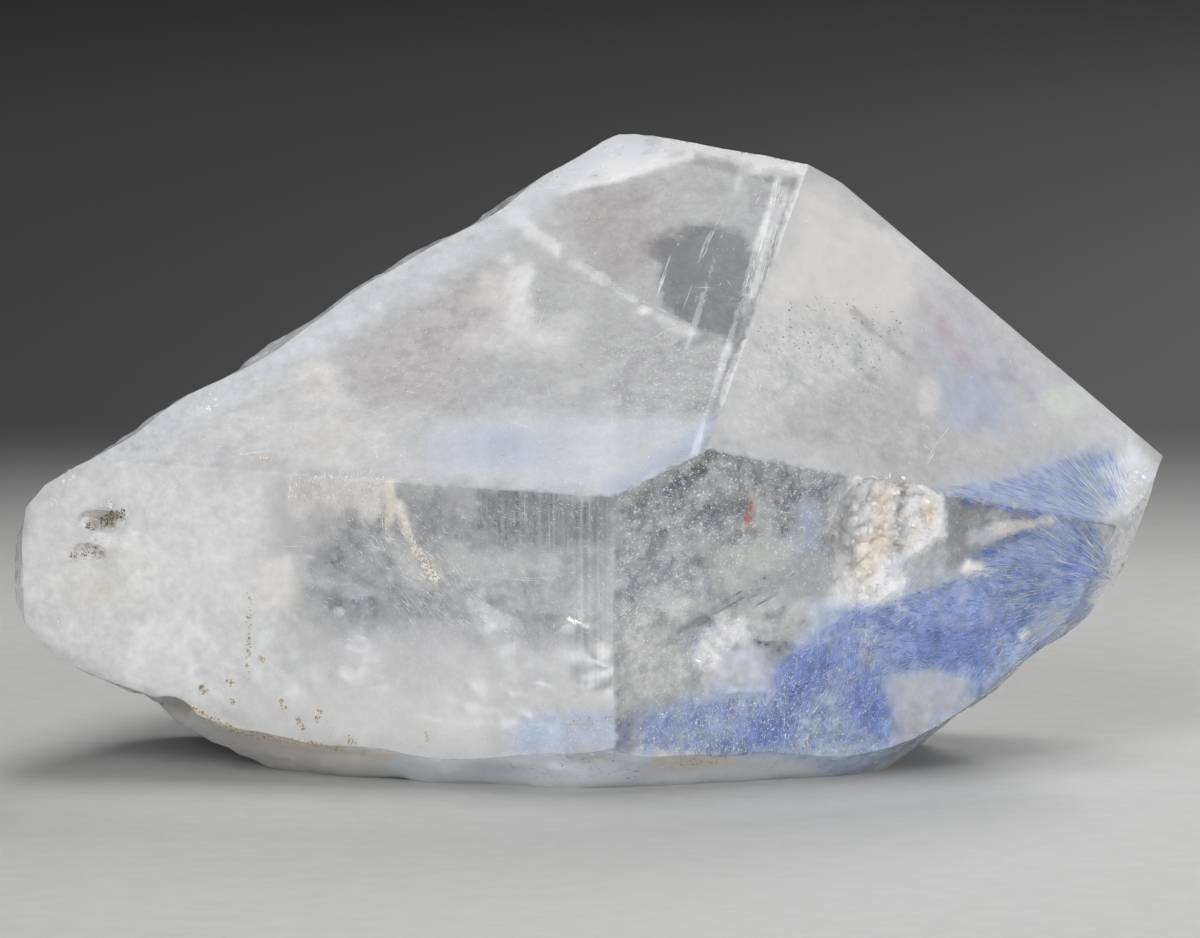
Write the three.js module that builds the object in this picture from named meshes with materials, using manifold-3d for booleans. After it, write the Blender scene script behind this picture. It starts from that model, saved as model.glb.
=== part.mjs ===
// Dumortierite quartz crystal: a short quartz point lying on its side, tip to the right.
// Flat prism and rhombohedron faces are left on its upper, front and back sides. The butt, the top
// left shoulder, the tip and the underside are broken, and it rests on the flat of the broken underside.
// Millimetres, +X towards the tip, -Y towards the viewer, +Z up, origin on the flat, under the box's middle.
import * as THREE from 'three';
import { ConvexGeometry } from 'three/addons/geometries/ConvexGeometry.js';
import { mergeVertices } from 'three/addons/utils/BufferGeometryUtils.js';
import { ImprovedNoise } from 'three/addons/math/ImprovedNoise.js';
import Module from 'manifold-3d';

const wasm = await Module();
wasm.setup();
const noise = new ImprovedNoise();

// How the crystal lies: its c axis runs left to right, turned to the viewer and dipping a little
const C_AXIS_TURN = 14.7;
const C_AXIS_DIP = 2.3;
const FRONT_PRISM_TURN = 99.5; // of the front prism face about the c axis, counted from straight up
const PRISM_STEP = 60;
const PRISM_TILT = 90; // between a prism face's normal and the c axis
const RHOMB_TILT = 51.79; // between a rhombohedron face's normal and the c axis, as in all quartz

// Middle of the crystal as it is laid out, from which every face and break is measured
const HEART = new THREE.Vector3(0, 0.3, 6.4);

// The faces that grew: turn about the c axis, tilt from it, and distance from the heart
const GROWN_FACES = {
  upper_prism: { turn: FRONT_PRISM_TURN - PRISM_STEP, tilt: PRISM_TILT, distance: 4.16 },
  front_prism: { turn: FRONT_PRISM_TURN, tilt: PRISM_TILT, distance: 6.02 },
  back_prism: { turn: FRONT_PRISM_TURN + 3 * PRISM_STEP, tilt: PRISM_TILT, distance: 5.5 },
  upper_rhomb: { turn: 41.1, tilt: 53.9, distance: 5.69 },
  front_rhomb: { turn: FRONT_PRISM_TURN, tilt: RHOMB_TILT, distance: 6.05 },
  top_rhomb: { turn: -18.8, tilt: 55.4, distance: 8.39 },
  back_rhomb: { turn: FRONT_PRISM_TURN + 3 * PRISM_STEP, tilt: RHOMB_TILT, distance: 10.8 },
};
const REST_HEIGHT = 0.22; // the broken underside is worn flat here
const FAR = 40; // the habit is closed off here, outside every break

// The breaks: outward direction, a point on the break, and the height of its lumps
const BREAKS = {
  shoulder: { facing: [-0.576, 0.237, 0.782], at: [-5.5, -0.4, 10.4], lumps: 0.3 },
  shoulder_lip: { facing: [-0.429, -0.171, 0.887], at: [-5.4, -0.6, 10.2], lumps: 0.16 },
  crown: { facing: [0.36, 0.5, 0.79], at: [1, 2.5, 13.75], lumps: 0.14 },
  butt_top: { facing: [-0.85, -0.15, 0.5], at: [-11.8, -3, 6.55], lumps: 0.25 },
  butt: { facing: [-0.93, -0.35, -0.1], at: [-12.35, -1.6, 4.3], lumps: 0.25 },
  butt_back: { facing: [-0.92, 0.36, -0.12], at: [-12.35, -0.9, 4.2], lumps: 0.3 },
  butt_under: { facing: [-0.5, -0.12, -0.86], at: [-10.5, -2.2, 2.4], lumps: 0.22 },
  heel: { facing: [-0.34, -0.36, -0.87], at: [-7.5, -3.3, 1.3], lumps: 0.2 },
  front_under: { facing: [-0.177, -0.7, -0.68], at: [-2.4, -4.45, 1.05], lumps: 0.16 },
  front_under_tip: { facing: [0.27, -0.66, -0.7], at: [1.8, -4.7, 1.05], lumps: 0.16 },
  underside: { facing: [0, 0, -1], at: [0, 0, 0], lumps: 0.4 },
  right_under: { facing: [0.57, -0.18, -0.8], at: [8.6, -1.9, 2.1], lumps: 0.25 },
  right: { facing: [0.86, -0.453, -0.236], at: [11.12, -1.5, 5.5], lumps: 0.2 },
  right_back: { facing: [0.8, 0.3, -0.52], at: [11.95, 0.1, 5], lumps: 0.25 },
  tip: { facing: [0.97, -0.1, 0.1], at: [12.8, 0.4, 6.6], lumps: 0.1 },
  back_under: { facing: [0.05, 0.78, -0.62], at: [0, 5, 2], lumps: 0.4 },
};
const BREAK_DETAIL = 21; // splits of each edge of the twenty-sided ball that carries the breaks
const BREAK_ROUNDING = 0.22; // how softly one break runs into the next
const LEAST_SLOPE = 0.02; // a break seen more edge-on than this from the heart doesn't bound it
const LUMP_SIZES = [3.4, 1.6]; // broad shell-like swells, and the knobs on them
const LUMP_SHARES = [0.65, 0.4];
const LUMP_OFFSET = 7.1; // keeps the two sizes of lumps from lining up

// Shell-shaped chips knocked out of a face or a break: middle, width, length and depth
const CHIPS = {
  edge_chip: { face: 'front_rhomb', at: [6, -3.6, 5.45], width: 2, length: 2.9, depth: 0.45 },
  edge_chip_lobe: { face: 'front_rhomb', at: [6.9, -3.29, 5.95], width: 1.4, length: 1.8, depth: 0.3 },
  butt_pit: { face: 'front_prism', at: [-10.35, -3.12, 5.8], width: 1.1, length: 0.5, depth: 0.3 },
  butt_pit_lower: { face: 'front_prism', at: [-10.66, -2.93, 5.12], width: 0.9, length: 0.4, depth: 0.2 },
  heel_notch: { facing: [-0.45, -0.1, -0.88], at: [-8.95, -2.2, 1.75], width: 4, length: 1, depth: 0.25 },
};
const CHIP_DETAIL = 8; // splits of each edge of the ball that cuts a chip
const CHIP_SUNK = 0.35; // share of that ball's half height that is below the face

// How close two numbers count as the same, and two points as one
const SAME = 1e-6;
const WELD = 1e-4;

const degrees = THREE.MathUtils.degToRad;
const vector = (xyz) => new THREE.Vector3(...xyz);

// Axes of the crystal: c, the direction nearest straight up, and the one towards the viewer
const cAxis = new THREE.Vector3(1, 0, 0)
  .applyAxisAngle(new THREE.Vector3(0, 1, 0), degrees(C_AXIS_DIP))
  .applyAxisAngle(new THREE.Vector3(0, 0, 1), -degrees(C_AXIS_TURN));
const upAxis = new THREE.Vector3(0, 0, 1).projectOnPlane(cAxis).normalize();
const frontAxis = cAxis.clone().cross(upAxis);

function faceNormal({ turn, tilt }) {
  const outward = upAxis.clone().multiplyScalar(Math.cos(degrees(turn)));
  outward.addScaledVector(frontAxis, Math.sin(degrees(turn)));
  return cAxis.clone().multiplyScalar(Math.cos(degrees(tilt)))
    .addScaledVector(outward, Math.sin(degrees(tilt)));
}

function grownPlanes() {
  const planes = Object.values(GROWN_FACES).map((face) => {
    const normal = faceNormal(face);
    const point = HEART.clone().addScaledVector(normal, face.distance);
    return new THREE.Plane().setFromNormalAndCoplanarPoint(normal, point);
  });
  const box = [[1, 0, 0], [-1, 0, 0], [0, 1, 0], [0, -1, 0], [0, 0, 1]];
  const closing = box.map((side) => new THREE.Plane(vector(side), -FAR));
  const rest = new THREE.Plane(new THREE.Vector3(0, 0, -1), REST_HEIGHT);
  return [...planes, ...closing, rest];
}

// Corner where three planes meet, or null where two of them are parallel
function corner(a, b, c) {
  const rows = new THREE.Matrix3().set(
    a.normal.x, a.normal.y, a.normal.z,
    b.normal.x, b.normal.y, b.normal.z,
    c.normal.x, c.normal.y, c.normal.z,
  );
  if (Math.abs(rows.determinant()) < SAME) return null;
  return new THREE.Vector3(-a.constant, -b.constant, -c.constant).applyMatrix3(rows.invert());
}

// The crystal as it grew: the convex body that all the faces leave between them
function habit() {
  const planes = grownPlanes();
  const corners = [];
  planes.forEach((a, i) => planes.slice(i + 1).forEach((b, j) => {
    for (const c of planes.slice(i + j + 2)) {
      const point = corner(a, b, c);
      if (point && planes.every((plane) => plane.distanceToPoint(point) < SAME)) corners.push(point);
    }
  }));
  return new ConvexGeometry(corners);
}

// Lumps of a broken surface at a point, between about -1 and 1
function lumps(point) {
  return LUMP_SIZES.reduce((sum, size, i) => {
    const swell = noise.noise(point.x / size + LUMP_OFFSET * i, point.y / size, point.z / size);
    return sum + LUMP_SHARES[i] * 2 * swell;
  }, 0);
}

// How far the breaks lie from the heart in one direction, rounded where one runs into the next
function breakReach(direction) {
  let nearness = 0;
  let lumpHeight = 0;
  for (const { facing, at, lumps: height } of Object.values(BREAKS)) {
    const normal = vector(facing).normalize();
    const slope = normal.dot(direction);
    if (slope < LEAST_SLOPE) continue;
    const reach = normal.dot(vector(at).sub(HEART)) / slope;
    const weight = Math.exp(-Math.min(reach, FAR) / BREAK_ROUNDING);
    nearness += weight;
    lumpHeight += weight * height;
  }
  if (nearness === 0) return FAR;
  const reach = -BREAK_ROUNDING * Math.log(nearness);
  const point = HEART.clone().addScaledVector(direction, reach);
  return reach + (lumpHeight / nearness) * lumps(point);
}

// Rough closed body bounded by the breaks alone
function brokenBody() {
  const ball = new THREE.IcosahedronGeometry(1, BREAK_DETAIL);
  const positions = ball.attributes.position;
  const direction = new THREE.Vector3();
  for (let i = 0; i < positions.count; i++) {
    direction.fromBufferAttribute(positions, i).normalize();
    const point = HEART.clone().addScaledVector(direction, breakReach(direction));
    positions.setXYZ(i, point.x, point.y, point.z);
  }
  return ball;
}

// Ball flattened to a shell-shaped chip, sunk into a face or a break
function chip({ face, facing, at, width, length, depth }) {
  const normal = face ? faceNormal(GROWN_FACES[face]) : vector(facing).normalize();
  const bowl = new THREE.IcosahedronGeometry(1, CHIP_DETAIL);
  const spread = Math.sqrt(1 - (1 - CHIP_SUNK) ** 2);
  bowl.scale(width / 2 / spread, length / 2 / spread, depth / CHIP_SUNK);
  const across = upAxis.clone().cross(normal).normalize();
  const along = normal.clone().cross(across);
  const middle = vector(at).addScaledVector(normal, depth * (1 / CHIP_SUNK - 1));
  bowl.applyMatrix4(new THREE.Matrix4().makeBasis(across, along, normal).setPosition(middle));
  return bowl;
}

function solid(geometry) {
  const bare = geometry.clone();
  bare.deleteAttribute('normal');
  bare.deleteAttribute('uv');
  const merged = mergeVertices(bare, WELD);
  return new wasm.Manifold(new wasm.Mesh({
    numProp: 3,
    vertProperties: merged.attributes.position.array,
    triVerts: new Uint32Array(merged.index.array),
  }));
}

function geometryOf(made) {
  const { vertProperties, triVerts } = made.getMesh();
  const geometry = new THREE.BufferGeometry();
  geometry.setAttribute('position', new THREE.BufferAttribute(vertProperties, 3));
  geometry.setIndex(new THREE.BufferAttribute(triVerts, 1));
  return geometry;
}

function quartzCrystal() {
  let crystal = solid(habit()).intersect(solid(brokenBody()));
  for (const place of Object.values(CHIPS)) crystal = crystal.subtract(solid(chip(place)));
  const geometry = geometryOf(crystal);
  geometry.computeBoundingBox();
  const middle = geometry.boundingBox.getCenter(new THREE.Vector3());
  geometry.translate(-middle.x, -middle.y, -REST_HEIGHT);
  return geometry;
}

const quartz = new THREE.MeshStandardMaterial({
  color: 0xdcdfe6, roughness: 0.12, metalness: 0, transparent: true, opacity: 0.45,
});
const crystal = new THREE.Mesh(quartzCrystal(), quartz);
crystal.name = 'quartz_crystal';

const part = new THREE.Group();
part.add(crystal);
export default part;
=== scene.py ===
import math
import random

import bpy
import numpy as np
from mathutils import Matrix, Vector, geometry, kdtree, noise
from mathutils.bvhtree import BVHTree


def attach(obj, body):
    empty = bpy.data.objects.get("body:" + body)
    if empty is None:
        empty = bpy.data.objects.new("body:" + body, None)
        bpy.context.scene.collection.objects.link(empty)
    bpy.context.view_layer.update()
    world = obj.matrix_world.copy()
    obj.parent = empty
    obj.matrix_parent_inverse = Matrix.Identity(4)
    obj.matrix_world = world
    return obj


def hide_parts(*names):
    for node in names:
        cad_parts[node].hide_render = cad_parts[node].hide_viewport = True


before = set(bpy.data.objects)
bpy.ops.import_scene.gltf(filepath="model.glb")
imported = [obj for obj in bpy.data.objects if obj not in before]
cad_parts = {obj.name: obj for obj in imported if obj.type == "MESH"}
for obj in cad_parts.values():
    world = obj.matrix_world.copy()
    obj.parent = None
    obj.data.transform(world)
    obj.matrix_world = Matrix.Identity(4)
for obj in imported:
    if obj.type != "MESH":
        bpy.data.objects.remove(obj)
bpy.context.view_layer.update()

MM = 0.001
TINY = 1e-12
NODE = "quartz_crystal"
BODY = "root"
SEED = 11

# The photograph's frame and camera: pixels, and millimetres in the part's frame
PHOTO_WIDTH = 1200
PHOTO_HEIGHT = 938
CRYSTAL_LENGTH = 25.0
CRYSTAL_PIXELS = 1157
MM_PER_PIXEL = CRYSTAL_LENGTH / CRYSTAL_PIXELS
CAMERA_AIM = np.array((0.197, -1.118, 6.367))
CAMERA_DISTANCE = 200.0
CAMERA_ELEVATION = math.radians(6)
SENSOR_WIDTH = 36.0
CLIP_START = 0.01
FOCAL_PIXELS = CAMERA_DISTANCE / MM_PER_PIXEL
CAMERA_RIGHT = np.array((1.0, 0.0, 0.0))
CAMERA_FORWARD = np.array((0.0, math.cos(CAMERA_ELEVATION), -math.sin(CAMERA_ELEVATION)))
CAMERA_UP = np.array((0.0, math.sin(CAMERA_ELEVATION), math.cos(CAMERA_ELEVATION)))
CAMERA_PLACE = CAMERA_AIM - CAMERA_DISTANCE * CAMERA_FORWARD

# Faces of the crystal, by the direction that each one looks
FACES = {
    "upper_prism": (-0.13, -0.62, 0.77),
    "front_prism": (-0.26, -0.95, -0.16),
    "upper_rhomb": (0.46, -0.67, 0.58),
    "front_rhomb": (0.40, -0.90, -0.15),
    "top_rhomb": (0.65, 0.10, 0.75),
    "rest": (0.0, 0.0, -1.0),
}
OTHER_FACE = "back"
BREAK = "break"
C_AXIS = np.array((0.9665, -0.2536, -0.0401))
QUARTZ_IOR = 1.544

# How fine the crystal's surface is, and how rough its breaks are
FACE_SPACING = 0.105
BREAK_SPACING = 0.13
LARGE_TRIANGLE = 0.6
ON_PLANE = 0.002
SAME_DIRECTION = 0.95
POINT_GAP = 0.6
POINT_JITTER = 0.2
EDGE_SLACK = 0.25
MERGE_GAP = 1e-9
MERGE_DIGITS = 5
SMALLEST_AREA = 1e-6
SMOOTHING_ROUNDS = 12
SMOOTHING_SHARE = 0.5
BREAK_FADE = 0.45
SHELL_SIZE = 1.5
SHELL_CURVE = 1.5
SHELL_DEPTH = 0.11
GRIT_SIZE = 0.5
GRIT_HEIGHT = 0.045
CRUSH_SIZE = 0.24
CRUSH_HEIGHT = 0.15
CRUSH_FADE = 0.15
CRUSH_BUMP = 2.4
CRUSH_FRONT = 0.0
SHARP_ANGLE = math.radians(30)

# Growth lines and swells of the flat faces
LINE_SIZE = 0.7
LINE_HEIGHT = 0.012
LINE_SHARE = {"upper_prism": 0.6, "front_prism": 1.0}
OTHER_LINE_SHARE = 0.3
NOISE_FADE = 1.0
NOISE_STEP = 2.0
SWELL_SIZE = 3.0
SWELL_HEIGHT = 0.01

# Colours of the quartz where it is milky, and of what is in it
TINTS = {
    "white": (0.90, 0.90, 0.91),
    "cold_white": (0.85, 0.88, 0.94),
    "warm_white": (0.90, 0.88, 0.86),
    "grey": (0.62, 0.64, 0.66),
    "light_blue": (0.66, 0.74, 0.93),
    "mid_blue": (0.56, 0.67, 0.93),
    "deep_blue": (0.32, 0.46, 0.84),
    "lavender": (0.84, 0.84, 0.93),
    "pink": (0.84, 0.77, 0.77),
    "beige": (0.87, 0.83, 0.77),
    "ochre": (0.80, 0.71, 0.55),
    "peach": (0.95, 0.78, 0.62),
    "pale_green": (0.86, 0.89, 0.84),
    "red": (0.76, 0.58, 0.57),
    "dark_red": (0.50, 0.20, 0.18),
    "brown": (0.52, 0.44, 0.35),
}

# How milky, rough, mottled, speckled and veiled each face is before its marks are laid on it
FACE_LOOKS = {
    "upper_prism": dict(milk=0.42, frost=0.03, mottle=0.18, speckle=0.10, veil=0.04),
    "front_prism": dict(milk=0.56, frost=0.03, mottle=0.11, speckle=0.06, veil=0.02),
    "upper_rhomb": dict(milk=0.50, frost=0.03, mottle=0.13, speckle=0.06, veil=0.03),
    "front_rhomb": dict(milk=0.20, frost=0.02, mottle=0.30, speckle=0.18, veil=0.05),
    "top_rhomb": dict(milk=0.46, frost=0.03, mottle=0.08, speckle=0.04, veil=0.04),
    "rest": dict(milk=0.60, frost=0.40, mottle=0.15, speckle=0.10, veil=0.00),
    "back": dict(milk=0.22, frost=0.03, mottle=0.20, speckle=0.10, veil=0.08),
    "break": dict(milk=0.72, frost=0.25, mottle=0.12, speckle=0.06, veil=0.02),
}
LOOKS = ("milk", "frost", "mottle", "speckle", "veil", "stripes")

# Noises in the quartz: sizes in millimetres, and how strongly each one acts
NOISE_MIDDLE = 0.5
CLOUD_SIZE = 2.6
CLOUD_SHIFT = 5.3
CLOUD_SHARE = 0.12
GRAIN_SIZE = 0.2
GRAIN_SHARE = 0.9
GRAIN_TINT = 1.3
LUMP_SIZE = 0.55
LUMP_SHARE = 1.4
LUMP_FROST = (-0.25, 0.25, 0.8, 1.2)
STRIPE_SIZE = 0.1
VEIL_SIZE = 1.1
VEIL_ROUGHNESS = 0.62
VEIL_RANGE = (0.0, 0.14, 1.0, -0.3)
SPECKLE_SIZE = 0.05
SPECKLE_RANGE = (0.60, 0.72, -0.05, 0.9)
SUBSURFACE_SHARE = 0.7
SUBSURFACE_REACH = 1.2
BUMP_SIZE = 0.16
BUMP_HEIGHT = 0.02
BUMP_ON_FACES = 0.03
BUMP_ON_BREAKS = 0.4
ABSORPTION_COLOUR = (0.86, 0.91, 0.96)
ABSORPTION_DENSITY = 40

# Edges of the marks, and how far a surface may turn away before its marks fade
MARK_RAGGED = 0.35
MARK_SOFT = 0.6
EDGE_RAGGED = 13.0
FRONT_TURN = (-0.05, 0.15)
RAGGED_SHARE = 0.6
RAGGED_LARGE = 1.4
RAGGED_SMALL = 0.4
RAGGED_SHIFT = 2.7


def area(outline, fade, **looks):
    """Mark that fills an outline and fades at its edge."""
    return dict(outline=outline, fade=fade, **looks)


def band(line, wide, **looks):
    """Mark along a line."""
    return dict(line=line, wide=wide, **looks)


def dab(at, size, **looks):
    """Mark in the shape of an ellipse."""
    return dict(at=at, size=size, **looks)


# Marks seen in the photograph, by face, in its pixels
UPPER = ("upper_prism", BREAK)
TIP = ("upper_rhomb", "top_rhomb", BREAK)
FRONT = ("front_prism", BREAK)
FRONT_TIP = ("front_rhomb", BREAK)
UPPER_MARKS = {
    "left": area(((80, 462), (330, 330), (430, 420), (420, 475)), 40, milk=0.6),
    "pink_left": area(
        ((330, 350), (440, 300), (480, 330), (460, 410), (360, 410)), 30, tint="pink", share=0.45,
        milk=0.44,
    ),
    "pink_middle": dab((478, 305), (70, 60), tint="pink", share=0.5, milk=0.44),
    "pink_high": area(
        ((560, 200), (600, 180), (650, 195), (668, 240), (640, 278), (585, 250)), 18, tint="pink",
        share=0.7, milk=0.34,
    ),
    "grey_right": area(
        ((600, 335), (740, 335), (715, 425), (620, 425)), 30, milk=0.36, mottle=0.26, speckle=0.3,
    ),
    "grey_top": area(((690, 160), (800, 176), (760, 300), (700, 225)), 16, milk=0.36),
    "dark": area(
        ((648, 236), (690, 224), (740, 232), (762, 258), (752, 300), (738, 338), (700, 334), (668, 305)),
        9, milk=0.0, mottle=0.05, speckle=0.05,
    ),
    "dark_edge": band(((800, 182), (766, 275), (742, 345), (716, 428)), 16, milk=0.18),
    "edge_band": band(((786, 196), (768, 240), (752, 296)), 8, milk=0.62),
    "edge_band_left": band(((776, 200), (762, 238)), 5, milk=0.58),
    "dark_foot": dab((703, 412), (46, 40), turn=40, milk=0.3),
    "crown": area(
        ((520, 205), (590, 128), (720, 128), (840, 172), (800, 178), (700, 152), (634, 171), (566, 190)),
        7, milk=0.74, frost=0.3, mottle=0.06,
    ),
    "crown_blue": band(((560, 170), (600, 146), (650, 140)), 26, tint="cold_white", milk=0.66),
    "crown_line": band(((562, 190), (633, 172), (690, 156)), 9, milk=0.84, tint="white", share=0.8),
    "shoulder": band(
        ((70, 460), (200, 395), (330, 320), (440, 255), (530, 195), (575, 155)), 44, milk=0.64,
        tint="cold_white", share=0.7,
    ),
    "wedge": band(((516, 214), (533, 233), (560, 250)), 15, milk=0.76),
    "wedge_dark": band(((545, 228), (565, 243), (562, 262)), 7, milk=0.42),
    "warm_spot": dab((492, 286), (20, 17), milk=1.0, tint="warm_white"),
    "warm_spot_glow": dab((497, 292), (50, 40), milk=0.6, tint="warm_white", share=0.6),
    "white_wisps": area(((505, 262), (535, 262), (532, 330), (508, 330)), 8, milk=0.78, stripes=0.2),
    "white_cloud": area(((470, 340), (520, 320), (570, 322), (565, 350), (520, 352)), 22, milk=0.66),
    "crack_shade": band(((584, 266), (600, 276), (618, 280)), 12, milk=0.32),
    "crack_white": band(
        ((572, 262), (608, 284), (632, 300), (660, 318), (692, 332)), 7, milk=0.62, ragged=1.8,
    ),
    "blob": dab((643, 311), (15, 11), milk=1.0, tint="warm_white", ragged=0.6),
    "beige_patch": area(
        ((300, 362), (318, 356), (342, 378), (338, 402), (312, 408), (290, 398)), 8, milk=0.66,
        tint="warm_white",
    ),
    "beige_low": area(
        ((290, 415), (345, 405), (390, 440), (380, 468), (300, 462)), 14, milk=0.62, tint="warm_white",
        share=0.7,
    ),
    "ochre_spot": dab((264, 458), (14, 6), tint="ochre", share=0.8),
    "low_band": area(
        ((420, 428), (520, 414), (640, 420), (722, 422), (640, 488), (606, 496), (430, 474)), 14, milk=0.6,
        tint="cold_white", mottle=0.08, speckle=0.1,
    ),
    "low_blue": dab((500, 448), (95, 38), tint="light_blue", share=0.5),
    "low_blue_right": band(((716, 432), (680, 462), (625, 492)), 34, tint="light_blue", share=0.6),
    "low_white": area(((560, 430), (610, 425), (625, 470), (590, 485)), 10, milk=0.66),
}
TIP_MARKS = {
    # Warm, smooth milky area high on the upper rhomb; its lighter tone is also a painted sheen, standing in
    # for the soft reflection of a light
    "warm": area(
        ((802, 186), (836, 186), (925, 268), (915, 310), (850, 330), (770, 300)), 20, milk=0.66,
        tint="warm_white", mottle=0.03, speckle=0.0,
    ),
    "veined": area(
        ((745, 310), (850, 318), (905, 350), (880, 420), (735, 430)), 20, milk=0.56, mottle=0.24,
        speckle=0.12,
    ),
    "grey": area(
        ((760, 420), (870, 370), (935, 400), (1000, 470), (930, 488), (800, 455)), 25, milk=0.42,
        tint="pink", share=0.3, mottle=0.2,
    ),
    "lavender": area(
        ((915, 275), (1050, 385), (1020, 430), (930, 340)), 18, milk=0.48, tint="lavender", share=0.6,
    ),
    "blue": area(
        ((936, 372), (985, 366), (1005, 395), (1000, 432), (945, 425)), 16, milk=0.48, tint="light_blue",
        share=0.7,
    ),
    "white_dab": dab((928, 395), (22, 34), milk=0.62, tint="warm_white"),
    "red": band(((920, 298), (945, 325), (968, 362)), 12, tint="red", share=0.35, ragged=0.8),
    "green": dab((1065, 402), (40, 28), milk=0.62, tint="pale_green"),
    "shade": dab((1062, 440), (34, 26), turn=-50, milk=0.46),
    "shade_left": band(((1005, 375), (1030, 398)), 12, milk=0.4),
    "dash": band(((855, 312), (872, 330)), 9, milk=0.36),
    "dash_right": band(((892, 345), (910, 358)), 9, milk=0.34),
    "dash_left": band(((838, 330), (862, 348)), 7, milk=0.46),
    "foot_blue": area(
        ((938, 484), (1000, 474), (1060, 450), (1118, 446), (1120, 500), (1090, 524), (1000, 505)), 18,
        milk=0.55, tint="mid_blue", mottle=0.25, share=0.65,
    ),
    "foot_white": area(
        ((1092, 470), (1130, 440), (1166, 465), (1140, 520), (1105, 520)), 9, milk=0.85, tint="cold_white",
        frost=0.25,
    ),
}
FRONT_MARKS = {
    "butt": area(
        ((0, 560), (60, 470), (270, 478), (290, 700), (160, 720), (30, 640)), 25, milk=0.78, mottle=0.2,
        speckle=0.04,
    ),
    "butt_warm": dab((110, 580), (150, 90), tint="warm_white", share=0.5),
    "patch": area(((254, 556), (296, 553), (298, 606), (258, 610)), 10, milk=0.84, tint="warm_white"),
    "window": area(
        ((330, 505), (400, 486), (500, 490), (615, 500), (618, 640), (520, 650), (440, 625), (350, 640),
        (310, 600)), 36, milk=0.26, mottle=0.36, speckle=0.18, frost=0.03,
    ),
    "window_dark": area(
        ((480, 492), (616, 500), (610, 545), (485, 548)), 10, milk=0.14, stripes=0.45, mottle=0.2,
    ),
    "window_mist": area(((440, 548), (560, 556), (560, 580), (450, 580)), 10, milk=0.44, mottle=0.25),
    "dark_spot": dab((345, 605), (34, 30), milk=0.16, mottle=0.35),
    "dark_spot_high": dab((330, 560), (36, 30), milk=0.18, mottle=0.35),
    "dark_spot_right": dab((472, 640), (26, 18), milk=0.2, mottle=0.35),
    "low_grade": area(
        ((292, 640), (430, 632), (560, 650), (640, 640), (640, 760), (300, 760)), 26, milk=0.64,
        mottle=0.1, speckle=0.08,
    ),
    "low_white": area(
        ((230, 690), (480, 690), (500, 760), (260, 745)), 16, milk=0.74, tint="warm_white", share=0.4,
        mottle=0.05,
    ),
    "bright_band": area(((567, 540), (612, 545), (618, 690), (572, 694)), 6, milk=0.34, stripes=0.35),
    "glint": dab((603, 652), (16, 24), milk=1.0, ragged=0.9),
    "fringe": area(
        ((286, 468), (392, 472), (390, 496), (372, 520), (352, 500), (338, 516), (318, 508), (304, 530),
        (290, 515)), 9, milk=0.72, tint="warm_white", mottle=0.25,
    ),
    "fringe_right": band(((388, 474), (391, 500), (389, 530)), 8, milk=0.88, tint="beige"),
    "streak": band(((399, 506), (412, 546), (438, 584)), 9, milk=0.95, tint="beige", ragged=0.3),
    "streak_end": band(((424, 560), (437, 580)), 14, milk=0.95, tint="beige", ragged=0.4),
    "strokes": area(((360, 528), (400, 526), (470, 600), (440, 620)), 10, milk=0.42, mottle=0.4),
    "blue": area(
        ((508, 722), (560, 708), (645, 706), (645, 752), (512, 752)), 8, tint="light_blue", share=0.75,
        milk=0.7, mottle=0.2, speckle=0.3,
    ),
    "blue_deep": dab((536, 735), (34, 30), tint="mid_blue", share=0.4, ragged=1.4),
    "pit": dab((106, 520), (34, 14), milk=0.7, tint="brown", share=0.35, ragged=1.6, frost=0.3),
    "pit_low": dab((88, 554), (36, 9), milk=0.75, tint="brown", share=0.2, ragged=1.6, frost=0.3),
    "pit_glow": area(((85, 534), (130, 534), (130, 546), (88, 546)), 4, milk=0.98),
    "yellow": dab((100, 590), (18, 14), tint="ochre", share=0.35),
    "stain": band(
        ((174, 702), (221, 726), (269, 740), (336, 751), (396, 757)), 9, tint="ochre", share=0.7, milk=0.9,
        ragged=0.7,
    ),
    "rim_left": band(
        ((180, 710), (240, 742), (310, 764), (380, 768)), 26, tint="beige", share=0.7, milk=0.9, frost=0.4,
    ),
    "rim_right": band(((400, 768), (480, 772), (620, 775)), 28, tint="cold_white", milk=0.8, frost=0.4),
}
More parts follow.
